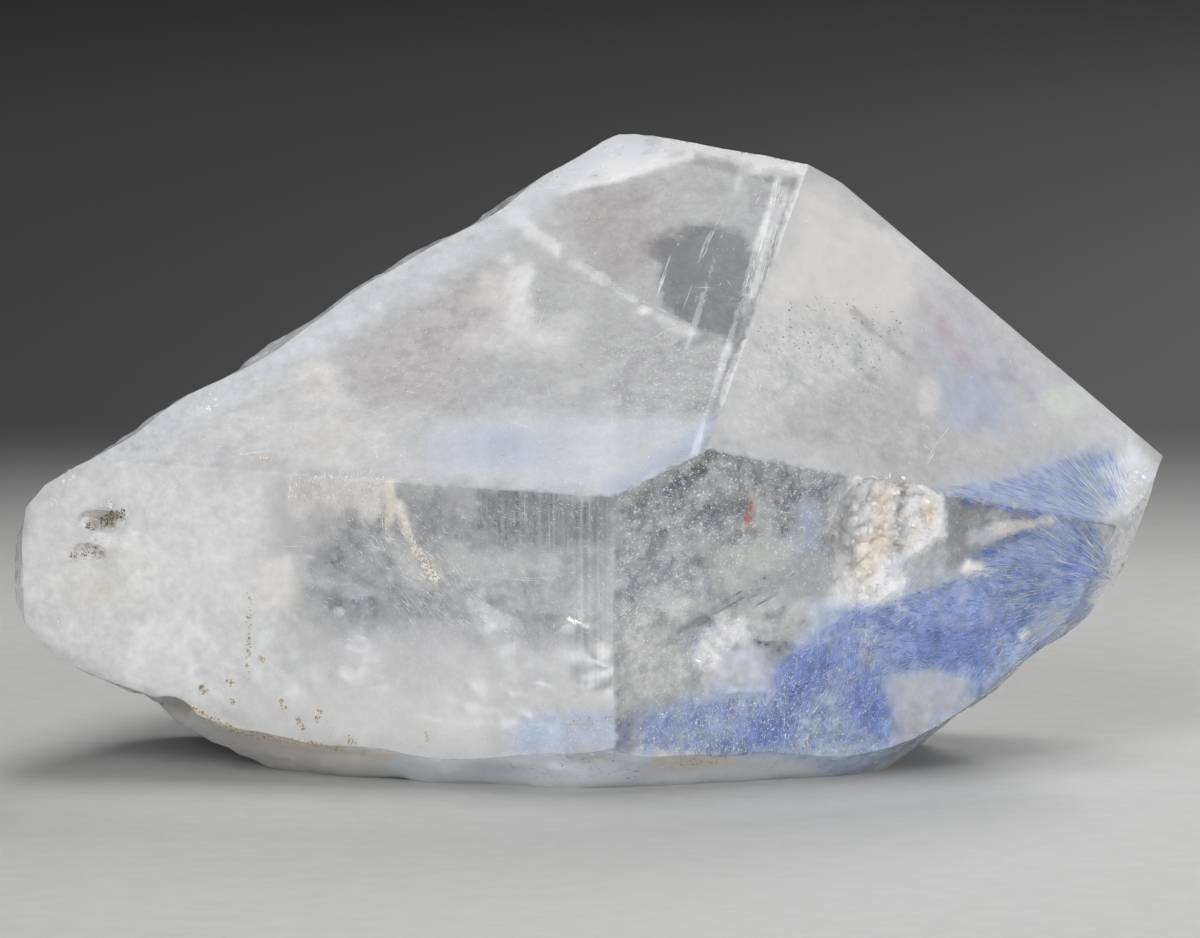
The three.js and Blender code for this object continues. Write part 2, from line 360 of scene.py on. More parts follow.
FRONT_TIP_MARKS = {
    "top": area(
        ((618, 498), (713, 455), (840, 472), (835, 560), (760, 545), (690, 600), (618, 620)), 12, milk=0.2,
        mottle=0.62, speckle=0.5,
    ),
    "green": area(
        ((700, 545), (770, 530), (785, 565), (730, 590)), 12, milk=0.42, tint="pale_green", mottle=0.25,
    ),
    "red": band(((752, 503), (748, 521)), 9, milk=0.4, tint="dark_red", share=0.45, ragged=1.6),
    "blue_patch": area(
        ((792, 500), (822, 490), (822, 552), (795, 556)), 9, milk=0.44, tint="light_blue", mottle=0.3,
    ),
    "left": area(
        ((618, 610), (690, 585), (700, 640), (705, 704), (618, 712)), 14, milk=0.5, tint="pale_green",
        share=0.6, mottle=0.5,
    ),
    "below_crack": area(
        ((676, 640), (760, 595), (840, 600), (800, 640), (760, 640), (700, 672)), 8, milk=0.26, mottle=0.5,
        speckle=0.2,
    ),
    "flakes": area(
        ((684, 642), (722, 618), (752, 634), (712, 676), (690, 670)), 4, milk=0.85, mottle=0.6,
        speckle=0.4,
    ),
    "lavender": area(
        ((709, 684), (720, 662), (744, 640), (766, 656), (782, 684), (750, 692)), 9, milk=0.66,
        tint="lavender", mottle=0.3, speckle=0.0,
    ),
    "lavender_edge": band(((724, 690), (776, 689)), 6, milk=1.0, tint="light_blue", share=0.6),
    "crack": band(((680, 630), (726, 604), (766, 587), (808, 571)), 4, milk=0.2, ragged=1.2, tint="grey"),
    "mist": area(
        ((845, 600), (900, 552), (955, 560), (960, 590), (900, 606), (862, 612)), 10, milk=0.32,
        tint="cold_white", mottle=0.4,
    ),
    "blue": area(
        ((640, 712), (700, 700), (770, 690), (790, 650), (840, 612), (900, 600), (960, 578), (1010, 545),
        (1060, 525), (1115, 560), (1080, 640), (1000, 690), (900, 760), (640, 756)), 15, milk=0.62,
        tint="mid_blue", mottle=0.55, speckle=0.2,
    ),
    "blue_pale": area(((810, 606), (900, 600), (895, 650), (815, 652)), 14, tint="light_blue", milk=0.62),
    "blue_left": area(
        ((640, 714), (740, 700), (745, 752), (640, 756)), 16, tint="light_blue", milk=0.6, share=0.7,
        mottle=0.4, speckle=0.4,
    ),
    "blue_haze": dab((880, 670), (300, 160), tint="light_blue", share=0.85, ragged=2.4, within="blue"),
    "blue_cores": dab((880, 670), (300, 160), tint="deep_blue", share=0.6, ragged=-2.4, within="blue"),
    "blue_white": dab((868, 645), (20, 40), tint="cold_white", share=0.7, milk=0.65),
    "blue_foot": area(
        ((780, 745), (860, 735), (900, 745), (860, 780), (790, 776)), 8, tint="light_blue", milk=0.72,
    ),
    "blue_low_right": area(
        ((1000, 640), (1085, 630), (1060, 690), (985, 700)), 10, tint="light_blue", milk=0.6, share=0.7,
    ),
    "deep_low": area(
        ((748, 722), (794, 710), (792, 748), (750, 746)), 9, tint="deep_blue", milk=0.5, share=0.75,
        mottle=0.4,
    ),
    "deep_left": area(
        ((778, 660), (826, 650), (830, 682), (785, 700)), 10, tint="deep_blue", milk=0.5, share=0.6,
    ),
    "deep_middle": area(
        ((850, 682), (892, 676), (896, 722), (856, 724)), 10, tint="deep_blue", milk=0.5, share=0.75,
    ),
    "deep_right": area(
        ((910, 632), (990, 624), (992, 664), (915, 668)), 10, tint="deep_blue", milk=0.52, share=0.8,
    ),
    "deep_rim": area(
        ((992, 572), (1036, 560), (1040, 628), (996, 634)), 12, tint="deep_blue", milk=0.5, share=0.15,
    ),
    "pearl": area(
        ((881, 680), (929, 668), (972, 684), (955, 702), (930, 720), (896, 750), (889, 704)), 11, milk=0.6,
        tint="warm_white", mottle=0.25, speckle=0.0, share=0.6,
    ),
    "dark_window": area(
        ((938, 494), (985, 503), (1056, 519), (1020, 536), (985, 560), (946, 572)), 7, milk=0.02,
        mottle=0.45, speckle=0.2,
    ),
    "dark_mist": band(((975, 538), (1012, 528)), 16, milk=0.32, tint="cold_white", share=0.8),
    "dark_streak": band(((996, 530), (1052, 521)), 9, milk=0.58, tint="beige", share=0.9),
    "chip": area(
        ((830, 515), (850, 472), (890, 466), (944, 484), (944, 538), (905, 562), (896, 604), (842, 602),
        (838, 560)), 5, milk=0.92, mottle=0.5, speckle=0.3, frost=0.4,
    ),
    "chip_peach": band(((884, 495), (878, 530), (862, 580)), 30, tint="peach", share=0.5, ragged=1.3),
    "chip_peach_right": dab((930, 510), (12, 26), tint="peach", share=0.8, ragged=0.8),
    "chip_grey": band(((846, 490), (840, 530), (850, 560)), 20, milk=0.45, ragged=0.8),
    "chip_gap": band(((905, 480), (900, 520), (897, 552)), 10, milk=0.4, ragged=0.9),
    "chip_white": dab((866, 592), (58, 26), milk=1.0, tint="white", mottle=0.3, ragged=0.5),
    "rim_flake": area(((960, 566), (985, 558), (992, 576), (966, 582)), 4, milk=0.95, tint="warm_white"),
    "rim": band(
        ((1164, 470), (1148, 515), (1118, 570), (1100, 596)), 26, milk=0.95, tint="white", frost=0.35,
        mottle=0.5, ragged=0.7,
    ),
    "facet": area(
        ((1020, 640), (1032, 616), (1092, 610), (1080, 634), (1048, 648)), 4, milk=0.5, tint="cold_white",
        mottle=0.1,
    ),
    "rainbow": dab((1024, 634), (11, 15), turn=-25, milk=1.0, tint="pale_green", mottle=0.0),
    "under": band(((620, 768), (720, 770), (800, 776)), 30, milk=0.82, tint="cold_white", frost=0.4),
    "under_beige": band(((660, 760), (730, 762)), 14, milk=0.85, tint="beige", ragged=0.6),
    "edge_pale": band(
        ((1100, 650), (1040, 692), (960, 720), (880, 775)), 14, milk=0.78, tint="cold_white", frost=0.3,
    ),
}
MARKED_FACES = (
    (UPPER, UPPER_MARKS),
    (TIP, TIP_MARKS),
    (FRONT, FRONT_MARKS),
    (FRONT_TIP, FRONT_TIP_MARKS),
)

# Outlines in pixels of the photograph, inside which the inclusions lie
BLUE_LOW = (
    (640, 722), (676, 706), (720, 699), (762, 699), (778, 668),
    (800, 690), (862, 752), (640, 754),
)
BLUE_MIDDLE = (
    (778, 668), (833, 623), (862, 602), (884, 672),
    (890, 730), (893, 752), (862, 754), (790, 700),
)
BLUE_RIGHT = (
    (846, 612), (912, 595), (957, 578), (1000, 560),
    (1035, 650), (991, 686), (929, 669), (884, 674),
)
BLUE_RIM = (
    (981, 557), (1019, 537), (1050, 523), (1100, 530),
    (1108, 580), (1077, 633), (1030, 665), (1000, 600),
)
BLUE_TIP = (
    (935, 490), (1001, 481), (1053, 465), (1105, 450),
    (1130, 480), (1100, 522), (1050, 520), (990, 505),
)
BLUE_FAINT = ((505, 738), (560, 722), (640, 716), (640, 753), (560, 754), (505, 750))
TIP_FAN = ((1060, 455), (1125, 448), (1122, 500), (1075, 508))
FAN_RODS = ((1044, 535), (1060, 524), (1095, 530), (1110, 575), (1095, 592), (1060, 570))
WINDOW = ((300, 490), (610, 500), (612, 640), (480, 650), (330, 640), (300, 590))
FRONT_TOP = ((622, 500), (713, 455), (840, 480), (830, 590), (700, 600), (622, 620))
FRONT_LEFT = ((622, 612), (690, 586), (706, 700), (622, 708))
DARK_WINDOW = ((940, 495), (1060, 520), (1000, 560), (940, 580))
FAN_FLAKES = ((680, 640), (720, 618), (758, 640), (700, 678), (684, 668))
LAVENDER = ((708, 683), (722, 660), (745, 640), (775, 672), (777, 690), (740, 694))
CHIP = ((832, 520), (850, 480), (885, 470), (930, 485), (940, 515), (905, 560), (870, 603), (845, 590))
RIM = ((1125, 470), (1160, 470), (1150, 520), (1115, 590), (1100, 570), (1125, 520))
UPPER_FACE = ((90, 455), (560, 180), (700, 150), (790, 180), (705, 445), (610, 490))
TIP_FACE = ((800, 190), (835, 190), (1140, 455), (1080, 510), (720, 445))
BUTT = ((20, 560), (60, 480), (290, 490), (290, 700), (180, 690), (40, 630))
PIT = ((99, 519), (110, 511), (124, 508), (125, 515), (114, 523), (101, 528))
PIT_LOWER = ((66, 563), (71, 552), (84, 547), (105, 547), (105, 555), (90, 556), (77, 557), (71, 565))
FAN_MIDDLE = (1112, 575)
SPOT_CORNERS = 12
CRUSHED = {
    "chip": ((826, 515), (848, 468), (890, 462), (948, 482), (948, 540), (900, 606), (838, 606)),
    "pits": ((60, 505), (130, 505), (130, 565), (60, 570)),
}


def stroke(start, end, width):
    """Outline of a straight stroke between two pixels."""
    run = np.array(end, float) - np.array(start, float)
    side = np.array((-run[1], run[0])) / np.linalg.norm(run) * width / 2
    return [start + side, end + side, end - side, start - side]


def spot(middle, width, height):
    """Outline of a round spot, in pixels."""
    turns = np.linspace(0, 2 * math.pi, SPOT_CORNERS, endpoint=False)
    return [(middle[0] + width / 2 * math.cos(t), middle[1] + height / 2 * math.sin(t)) for t in turns]


def bed(outline, count, **more):
    """That many small shapes behind an outline."""
    return dict(outline=outline, count=count, **more)


def line_bed(start, end, width, count, **more):
    """Small shapes that follow a straight stroke."""
    return bed(stroke(start, end, width), count, along=(start, end), **more)


def glints(outline, count, size, **more):
    """Tilted grains, so that some of them catch the light; where white, they are also a painted glint."""
    return bed(outline, count, size=size, tilt=GLINT_TILT, **more)


# Inclusions, by piece: depth behind the surface and sizes in millimetres
GLINT_TILT = 0.7
BLUES = ((0.17, 0.29, 0.70), (0.25, 0.38, 0.80), (0.34, 0.47, 0.86), (0.50, 0.61, 0.92))
FELT_BLUES = ((0.10, 0.20, 0.62), (0.24, 0.37, 0.80), (0.40, 0.52, 0.88), (0.70, 0.78, 0.95))
PALE_BLUES = ((0.80, 0.84, 0.93), (0.62, 0.71, 0.93), (0.30, 0.45, 0.86))
GREYS = ((0.82, 0.83, 0.85), (0.62, 0.64, 0.67), (0.45, 0.47, 0.50))
WHITES = ((0.90, 0.91, 0.92), (0.72, 0.74, 0.76))
BROWNS = ((0.42, 0.29, 0.15), (0.30, 0.20, 0.10), (0.55, 0.42, 0.25))
BEIGES = ((0.84, 0.79, 0.72), (0.88, 0.85, 0.80))
PEACHES = ((0.95, 0.93, 0.90), (0.95, 0.93, 0.90), (0.94, 0.80, 0.66))
RAINBOW = ((0.95, 0.74, 0.80), (0.74, 0.95, 0.80), (0.95, 0.92, 0.60), (0.80, 0.86, 0.98))
REDS = ((0.36, 0.07, 0.06), (0.48, 0.15, 0.12))
DARKS = ((0.12, 0.12, 0.12), (0.24, 0.24, 0.23))
PIT_COLOURS = ((0.20, 0.15, 0.10), (0.11, 0.09, 0.07), (0.36, 0.29, 0.21))
DARK_BLUES = ((0.09, 0.17, 0.50), (0.14, 0.24, 0.62))
SHADES = ((0.26, 0.27, 0.29), (0.40, 0.41, 0.43))
FINE = (0.012, 0.026)
FELT = (0.006, 0.013)
NEEDLES = {
    "low": bed(BLUE_LOW, 2300, depth=(0.1, 1.1), length=(0.25, 0.8)),
    "middle": bed(BLUE_MIDDLE, 1900, depth=(0.12, 1.6), length=(0.3, 1.0), lean=(0.4, 0, 0.9)),
    "right": bed(BLUE_RIGHT, 2300, depth=(0.12, 1.6), length=(0.4, 1.2), fan=0.6),
    "rim": bed(BLUE_RIM, 2000, depth=(0.12, 1.5), length=(0.5, 1.6), fan=0.25),
    "tip": bed(BLUE_TIP, 900, depth=(0.12, 0.5), length=(0.4, 1.4), fan=0.3),
    "faint": bed(BLUE_FAINT, 260, depth=(0.1, 0.8), length=(0.2, 0.6)),
    "rods": bed(
        BLUE_RIM, 80, depth=(0.08, 0.3), length=(0.8, 1.7), fan=0.12, width=(0.04, 0.07),
        colours=PALE_BLUES,
    ),
    "tip_rods": bed(
        BLUE_TIP, 40, depth=(0.08, 0.3), length=(0.6, 1.4), fan=0.12, width=(0.03, 0.06),
        colours=PALE_BLUES,
    ),
}
SKIN_NEEDLES = {
    "felt_low": bed(BLUE_LOW, 900, length=(0.08, 0.3)),
    "felt_middle": bed(BLUE_MIDDLE, 900, length=(0.1, 0.4), lean=(0.4, 0, 0.9)),
    "felt_right": bed(BLUE_RIGHT, 900, length=(0.1, 0.4), fan=0.6),
    "felt_rim": bed(BLUE_RIM, 600, length=(0.2, 0.7), fan=0.2),
    "felt_tip": bed(BLUE_TIP, 600, length=(0.15, 0.6), fan=0.25),
    "low_dashes": bed(BLUE_LOW, 170, length=(0.05, 0.16), width=(0.014, 0.03), colours=WHITES),
    "middle_dashes": bed(BLUE_MIDDLE, 90, length=(0.04, 0.13), width=FINE, colours=WHITES),
    "under_blue": bed(stroke((510, 770), (640, 774), 14), 70, length=(0.05, 0.2), lean=(1, 0, 0)),
    "tip_fan": bed(TIP_FAN, 70, length=(0.3, 0.9), fan=0.15, width=(0.01, 0.03), colours=PALE_BLUES),
    "skin_rods": bed(FAN_RODS, 60, length=(0.5, 1.1), fan=0.1, width=(0.02, 0.045), colours=PALE_BLUES),
    "dark_low": bed(BLUE_LOW, 170, length=(0.04, 0.14), width=FINE, colours=DARK_BLUES),
    "dark_middle": bed(
        BLUE_MIDDLE, 130, length=(0.04, 0.14), lean=(0.4, 0, 0.9), width=FINE, colours=DARK_BLUES,
    ),
    "dark_right": bed(BLUE_RIGHT, 130, length=(0.04, 0.14), fan=0.6, width=FINE, colours=DARK_BLUES),
    "dark_rim": bed(BLUE_RIM, 110, length=(0.06, 0.2), fan=0.2, width=FINE, colours=DARK_BLUES),
    "pale_right": bed(BLUE_RIGHT, 120, length=(0.05, 0.2), fan=0.6, width=FINE, colours=PALE_BLUES),
    "pale_rim": bed(BLUE_RIM, 160, length=(0.1, 0.45), fan=0.2, width=FINE, colours=PALE_BLUES),
}
HAIRLINES = {
    "edge_line": line_bed((718, 216), (683, 302), 5, 12),
    "edge_line_short": line_bed((670, 258), (654, 302), 4, 8),
    "edge_band": line_bed((780, 185), (752, 300), 20, 26),
    "veil_line": line_bed((587, 267), (689, 328), 6, 22),
    "upper_scratches": bed(UPPER_FACE, 24, along=((420, 300), (560, 420)), loose=1.2),
    "tip_scratch": line_bed((927, 462), (949, 425), 4, 12),
    "front_lines": line_bed((457, 579), (546, 580), 5, 6),
    "left_lines": line_bed((240, 548), (299, 548), 5, 4),
    "striations": bed(
        ((485, 500), (612, 505), (612, 660), (490, 640)), 26, along=((560, 510), (560, 650)), loose=0.03,
        colours=GREYS, width=(0.006, 0.012),
    ),
    "window_hairs": bed(
        WINDOW, 700, along=((420, 520), (520, 620)), loose=0.7, length=(0.04, 0.17), colours=GREYS,
    ),
    "window_strokes": bed(
        ((360, 520), (420, 520), (520, 640), (400, 620)), 160, along=((420, 520), (520, 620)), loose=0.25,
        length=(0.08, 0.3),
    ),
    "front_hairs": bed(
        FRONT_TOP, 700, along=((640, 520), (800, 560)), loose=1.8, length=(0.03, 0.13), colours=GREYS,
    ),
    "upper_hairs": bed(UPPER_FACE, 200, along=((600, 200), (560, 420)), loose=0.8, length=(0.04, 0.16)),
    "tip_hairs": bed(TIP_FACE, 60, along=((860, 250), (1000, 420)), loose=1.5, length=(0.05, 0.2)),
    "low_scratch": line_bed((796, 735), (828, 690), 5, 12),
}
SMEARS = {
    "smear": bed(stroke((290, 490), (372, 492), 34), 70, length=(0.3, 1.0)),
    "smear_right": bed(spot((386, 508), 14, 36), 26, length=(0.4, 0.9)),
}
CRACKS = {
    "tip_dark_hairs": bed(
        spot((834, 335), 160, 80), 90, along=((760, 320), (900, 350)), loose=1.2, length=(0.04, 0.16),
        width=(0.01, 0.025),
    ),
    "upper_dark_hairs": bed(
        UPPER_FACE, 60, along=((460, 450), (700, 440)), loose=0.5, length=(0.05, 0.2),
        width=(0.006, 0.014),
    ),
    "crack": line_bed((683, 628), (807, 571), 8, 24, loose=0.14, length=(0.1, 0.5)),
    "crack_middle": bed(
        stroke((712, 610), (745, 594), 11), 16, loose=0.2, length=(0.08, 0.3),
        along=((683, 628), (807, 571)),
    ),
    "crack_short": line_bed((751, 608), (772, 596), 4, 6),
}
SPECKS = {
    "window": bed(WINDOW, 1500, depth=(0.1, 2.2), size=(0.025, 0.07)),
    "front_top": bed(FRONT_TOP, 1900, depth=(0.05, 1.6), size=(0.025, 0.07)),
    "dark_window": bed(DARK_WINDOW, 150, depth=(0.1, 1.5), size=(0.02, 0.05)),
    "fan": bed(FAN_FLAKES, 120, depth=(0.05, 0.5), size=(0.08, 0.26)),
    "fan_edge": bed(LAVENDER, 40, depth=(0.05, 0.3), size=(0.08, 0.3)),
}
SKIN_SPECKS = {
    "blue_low": glints(BLUE_LOW, 700, (0.015, 0.06)),
    "blue_middle": glints(BLUE_MIDDLE, 300, (0.015, 0.05)),
    "blue_right": glints(BLUE_RIGHT, 220, (0.015, 0.045)),
    "blue_rim": glints(BLUE_RIM, 200, (0.015, 0.05)),
    "rim": bed(RIM, 300, size=(0.02, 0.05)),
    "chip": bed(CHIP, 450, size=(0.015, 0.05), colours=PEACHES),
    "upper": bed(UPPER_FACE, 700, size=(0.008, 0.024)),
    "tip": bed(TIP_FACE, 300, size=(0.008, 0.024)),
    "butt": bed(BUTT, 120, size=(0.008, 0.03)),
    "sparkle": glints(spot((208, 403), 24, 18), 40, (0.03, 0.1)),
    "pit_white": glints(spot((108, 538), 44, 14), 40, (0.02, 0.07)),
    "pit_edges": glints(spot((100, 528), 74, 58), 60, (0.015, 0.05)),
    "butt_glints": glints(spot((54, 503), 12, 10), 14, (0.04, 0.1)),
    "edge_nicks": bed(stroke((713, 453), (838, 477), 4), 60, size=(0.01, 0.035)),
    "edge_nicks_left": bed(stroke((620, 496), (712, 454), 4), 40, size=(0.01, 0.03)),
    "edge_nicks_tip": bed(stroke((940, 493), (1088, 524), 4), 70, size=(0.01, 0.035)),
    "edge_nicks_high": bed(stroke((798, 186), (718, 440), 4), 60, size=(0.008, 0.026)),
    "veil_blobs": glints(stroke((600, 280), (690, 330), 12), 50, (0.02, 0.06)),
    "flake_edges": glints(FAN_FLAKES, 110, (0.015, 0.05)),
    "chip_flakes": glints(CHIP, 150, (0.05, 0.16), colours=PEACHES),
    "rainbow": bed(spot((1025, 636), 9, 14), 14, size=(0.03, 0.06), colours=RAINBOW),
    "rim_flakes": glints(RIM, 120, (0.05, 0.14)),
    "chip_white": glints(spot((866, 592), 54, 24), 120, (0.02, 0.07)),
    "butt_sparkle": glints(BUTT, 90, (0.012, 0.04)),
    "butt_white": glints(spot((66, 474), 20, 20), 40, (0.04, 0.12)),
    "pit_high": glints(spot((106, 503), 16, 12), 24, (0.03, 0.08)),
    "pit_between": glints(spot((84, 540), 42, 12), 40, (0.02, 0.07)),
    "under": glints(stroke((520, 764), (800, 770), 14), 120, (0.01, 0.035)),
    "pit_glints": glints(spot((172, 483), 40, 14), 30, (0.02, 0.08)),
    "front_glitter": glints(FRONT_TOP, 240, (0.012, 0.045)),
    "left_glitter": glints(FRONT_LEFT, 130, (0.012, 0.05)),
    "window_glitter": glints(WINDOW, 110, (0.01, 0.035)),
}
FLECKS = (
    ((281, 698), (285, 710), 5, 16),
    ((296, 716), (303, 731), 5, 20),
    ((320, 710), (314, 724), 5, 18),
    ((347, 735), (355, 746), 6, 18),
    ((200, 685), (207, 694), 7, 18),
    ((227, 680), (233, 685), 5, 12),
    ((259, 656), (265, 662), 5, 12),
    ((231, 698), (234, 704), 5, 10),
    ((424, 732), (428, 742), 5, 10),
)
STAINS = {
    "rim_line": bed(stroke((177, 702), (240, 733), 7), 90),
    "rim_line_right": bed(stroke((240, 733), (342, 748), 6), 110),
    "upright": bed(stroke((249, 593), (248, 682), 5), 60),
    **{"fleck_%d" % i: bed(stroke(*row[:3]), row[3]) for i, row in enumerate(FLECKS)},
    "low_dashes": bed(stroke((569, 722), (623, 720), 8), 26),
    "under_spots": bed(stroke((680, 760), (726, 759), 10), 50),
    "streak": bed(stroke((399, 508), (416, 550), 5), 90, colours=BEIGES),
    "streak_end": bed(stroke((414, 546), (437, 582), 9), 150, colours=BEIGES),
    "fringe": bed(stroke((288, 486), (388, 488), 22), 160, colours=BEIGES),
    "pit": bed(PIT, 100, colours=PIT_COLOURS),
    "pit_left": bed(spot((91, 526), 10, 11), 30, colours=PIT_COLOURS),
    "pit_lower": bed(PIT_LOWER, 36, colours=PIT_COLOURS),
    "ridge_brown": bed(stroke((109, 432), (121, 434), 7), 14, colours=BEIGES),
    "ridge_high": bed(stroke((155, 409), (164, 412), 6), 8),
    "ochre_fleck": bed(stroke((259, 458), (270, 457), 4), 8, colours=BEIGES),
    "under_left": bed(stroke((560, 763), (640, 764), 14), 16),
    "tip_cluster": bed(spot((834, 335), 150, 66), 60, colours=DARKS),
    "tip_dots": bed(spot((871, 397), 26, 50), 10, colours=DARKS),
    "upper_dot": bed(spot((581, 366), 7, 6), 5, colours=DARKS),
    "front_gaps": bed(FRONT_TOP, 130, size=(0.012, 0.045), colours=SHADES),
    "left_gaps": bed(FRONT_LEFT, 60, size=(0.012, 0.045), colours=SHADES),
    "tip_gaps": bed(spot((850, 400), 130, 90), 36, size=(0.01, 0.035), colours=SHADES),
    "red_fleck": bed(
        ((750, 499), (756, 508), (750, 525), (744, 523), (747, 510)), 26, size=(0.02, 0.09), colours=REDS,
    ),
}
SKIN_GAP = 0.05
SKIN_LIFT = 0.004
SPECK_TILT = 0.05
SPECK_FLATNESS = 0.12
SPECK_CORNERS = (4, 6)
SPECK_JITTER = 0.3
SPECK_REACH = (0.4, 1.2)
OFF_AXIS = (0.3, 0.9, 0.31)
FAN_DEPTH = 0.5
STAIN_SIZE = (0.025, 0.07)
HAIR_LENGTH = (0.25, 0.9)
HAIR_WIDTH = (0.008, 0.016)
CRACK_WIDTH = (0.008, 0.022)
SMEAR_LENGTH = (0.15, 0.5)
SMEAR_WIDTH = (0.006, 0.014)
UPRIGHT = (0, 0, 1)
LOOSE_NEEDLES = 0.8
LOOSE_HAIRS = 0.06
INCLUSION_IOR = 1.68
ROUGHNESS = {
    "dumortierite": 0.35,
    "specks": 0.25,
    "felt": 0.45,
    "smears": 0.7,
    "hairlines": 0.4,
    "cracks": 0.3,
    "grains": 0.12,
    "stains": 0.7,
}
UNEVEN_SIZE = 0.12
UNEVEN_SHADE = (0.85, 1.12)
MIDDLE_NOISE = (0.3, 0.7)

# Stage; the floor's colour is painted darker with distance from its middle, a painted falloff of the light
FLOOR_RADIUS = 400.0
FLOOR_SHADE_START = 24.0
FLOOR_SHADE_END = 75.0
FLOOR_COLOUR = (0.57, 0.57, 0.56)
FLOOR_FAR_SHADE = 0.02
FLOOR_ROUGHNESS = 0.6
FLOOR_GRAIN = 0.7
FLOOR_UNEVEN = (0.97, 1.02)
FLOOR_CORNERS = 96
WORLD_COLOUR = (0.018, 0.018, 0.02)
LIGHTS = {
    "key": ((-0.15, -0.40, 0.22), 0.24, 1.3),
    "overhead": ((0.08, 0.02, 0.42), 0.30, 0.75),
    "fill": ((0.28, -0.34, 0.16), 0.26, 0.7),
    "rim": ((0.14, 0.34, 0.24), 0.2, 0.65),
}
LIGHT_AIM = (0, 0, 0.005)
INNER_LIGHT = 1.2


def smoothstep(low, high, value):
    share = np.clip((value - low) / (high - low), 0, 1)
    return share * share * (3 - 2 * share)


def unit(vectors):
    return vectors / np.maximum(np.linalg.norm(vectors, axis=-1, keepdims=True), TINY)


def fractal(points, size, octaves=4, offset=0.0):
    """Smooth noise of about -1 to 1 at each point, with its largest lumps of that size in millimetres."""
    scaled = points / size + offset
    return np.array([noise.fractal(p, NOISE_FADE, NOISE_STEP, octaves) for p in scaled])


def shells(points, size):
    """Shell-shaped hollows: 0 at their rims and 1 at their middles."""
    nearest = np.array([noise.voronoi(p)[0][0] for p in points / size])
    return np.clip(1 - nearest, 0, 1) ** SHELL_CURVE


# The crystal's surface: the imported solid, cut finer


def cad_surface():
    """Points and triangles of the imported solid, in millimetres, with shared points merged."""
    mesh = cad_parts[NODE].data
    mesh.calc_loop_triangles()
    flat_points = np.empty(len(mesh.vertices) * 3)
    mesh.vertices.foreach_get("co", flat_points)
    corners = np.empty(len(mesh.loop_triangles) * 3, np.int32)
    mesh.loop_triangles.foreach_get("vertices", corners)
    rounded = np.round(flat_points.reshape(-1, 3) / MM, MERGE_DIGITS)
    points, merged = np.unique(rounded, axis=0, return_inverse=True)
    return points, merged.ravel()[corners].reshape(-1, 3)


def triangle_crosses(points, triangles):
    """Each triangle's normal, as long as twice its area."""
    a, b, c = (points[triangles[:, i]] for i in range(3))
    return np.cross(b - a, c - a)


def triangle_normals(points, triangles):
    cross = triangle_crosses(points, triangles)
    return unit(cross), np.linalg.norm(cross, axis=1) / 2


def face_planes(points, triangles):
    """Normal and distance of each flat face, found from the solid's large triangles."""
    normals, areas = triangle_normals(points, triangles)
    planes = []
    for t in np.argsort(-areas):
        if areas[t] < LARGE_TRIANGLE:
            break
        corners = points[triangles[t]]
        if all(np.abs(corners @ n - d).max() > ON_PLANE for n, d in planes):
            planes.append((normals[t], corners[0] @ normals[t]))
    return planes


def face_name(normal):
    best = max(FACES, key=lambda name: normal @ np.array(FACES[name]))
    return best if normal @ np.array(FACES[best]) > SAME_DIRECTION else OTHER_FACE


def triangle_planes(points, triangles, planes):
    """Index of the flat face that each triangle lies on, or -1 on a break."""
    found = np.full(len(triangles), -1)
    for i, (normal, distance) in enumerate(planes):
        off = np.abs(points[triangles] @ normal - distance).max(axis=1)
        found[off < ON_PLANE] = i
    return found


def inside(spots, starts, ends):
    """Whether each flat spot lies inside the closed outline made of these edges."""
    x, y = spots[:, :1], spots[:, 1:]
    crosses = (starts[:, 1] > y) != (ends[:, 1] > y)
    rise = np.where(ends[:, 1] == starts[:, 1], 1.0, ends[:, 1] - starts[:, 1])
    at = starts[:, 0] + (y - starts[:, 1]) / rise * (ends[:, 0] - starts[:, 0])
    return (crosses & (x < at)).sum(axis=1) % 2 == 1


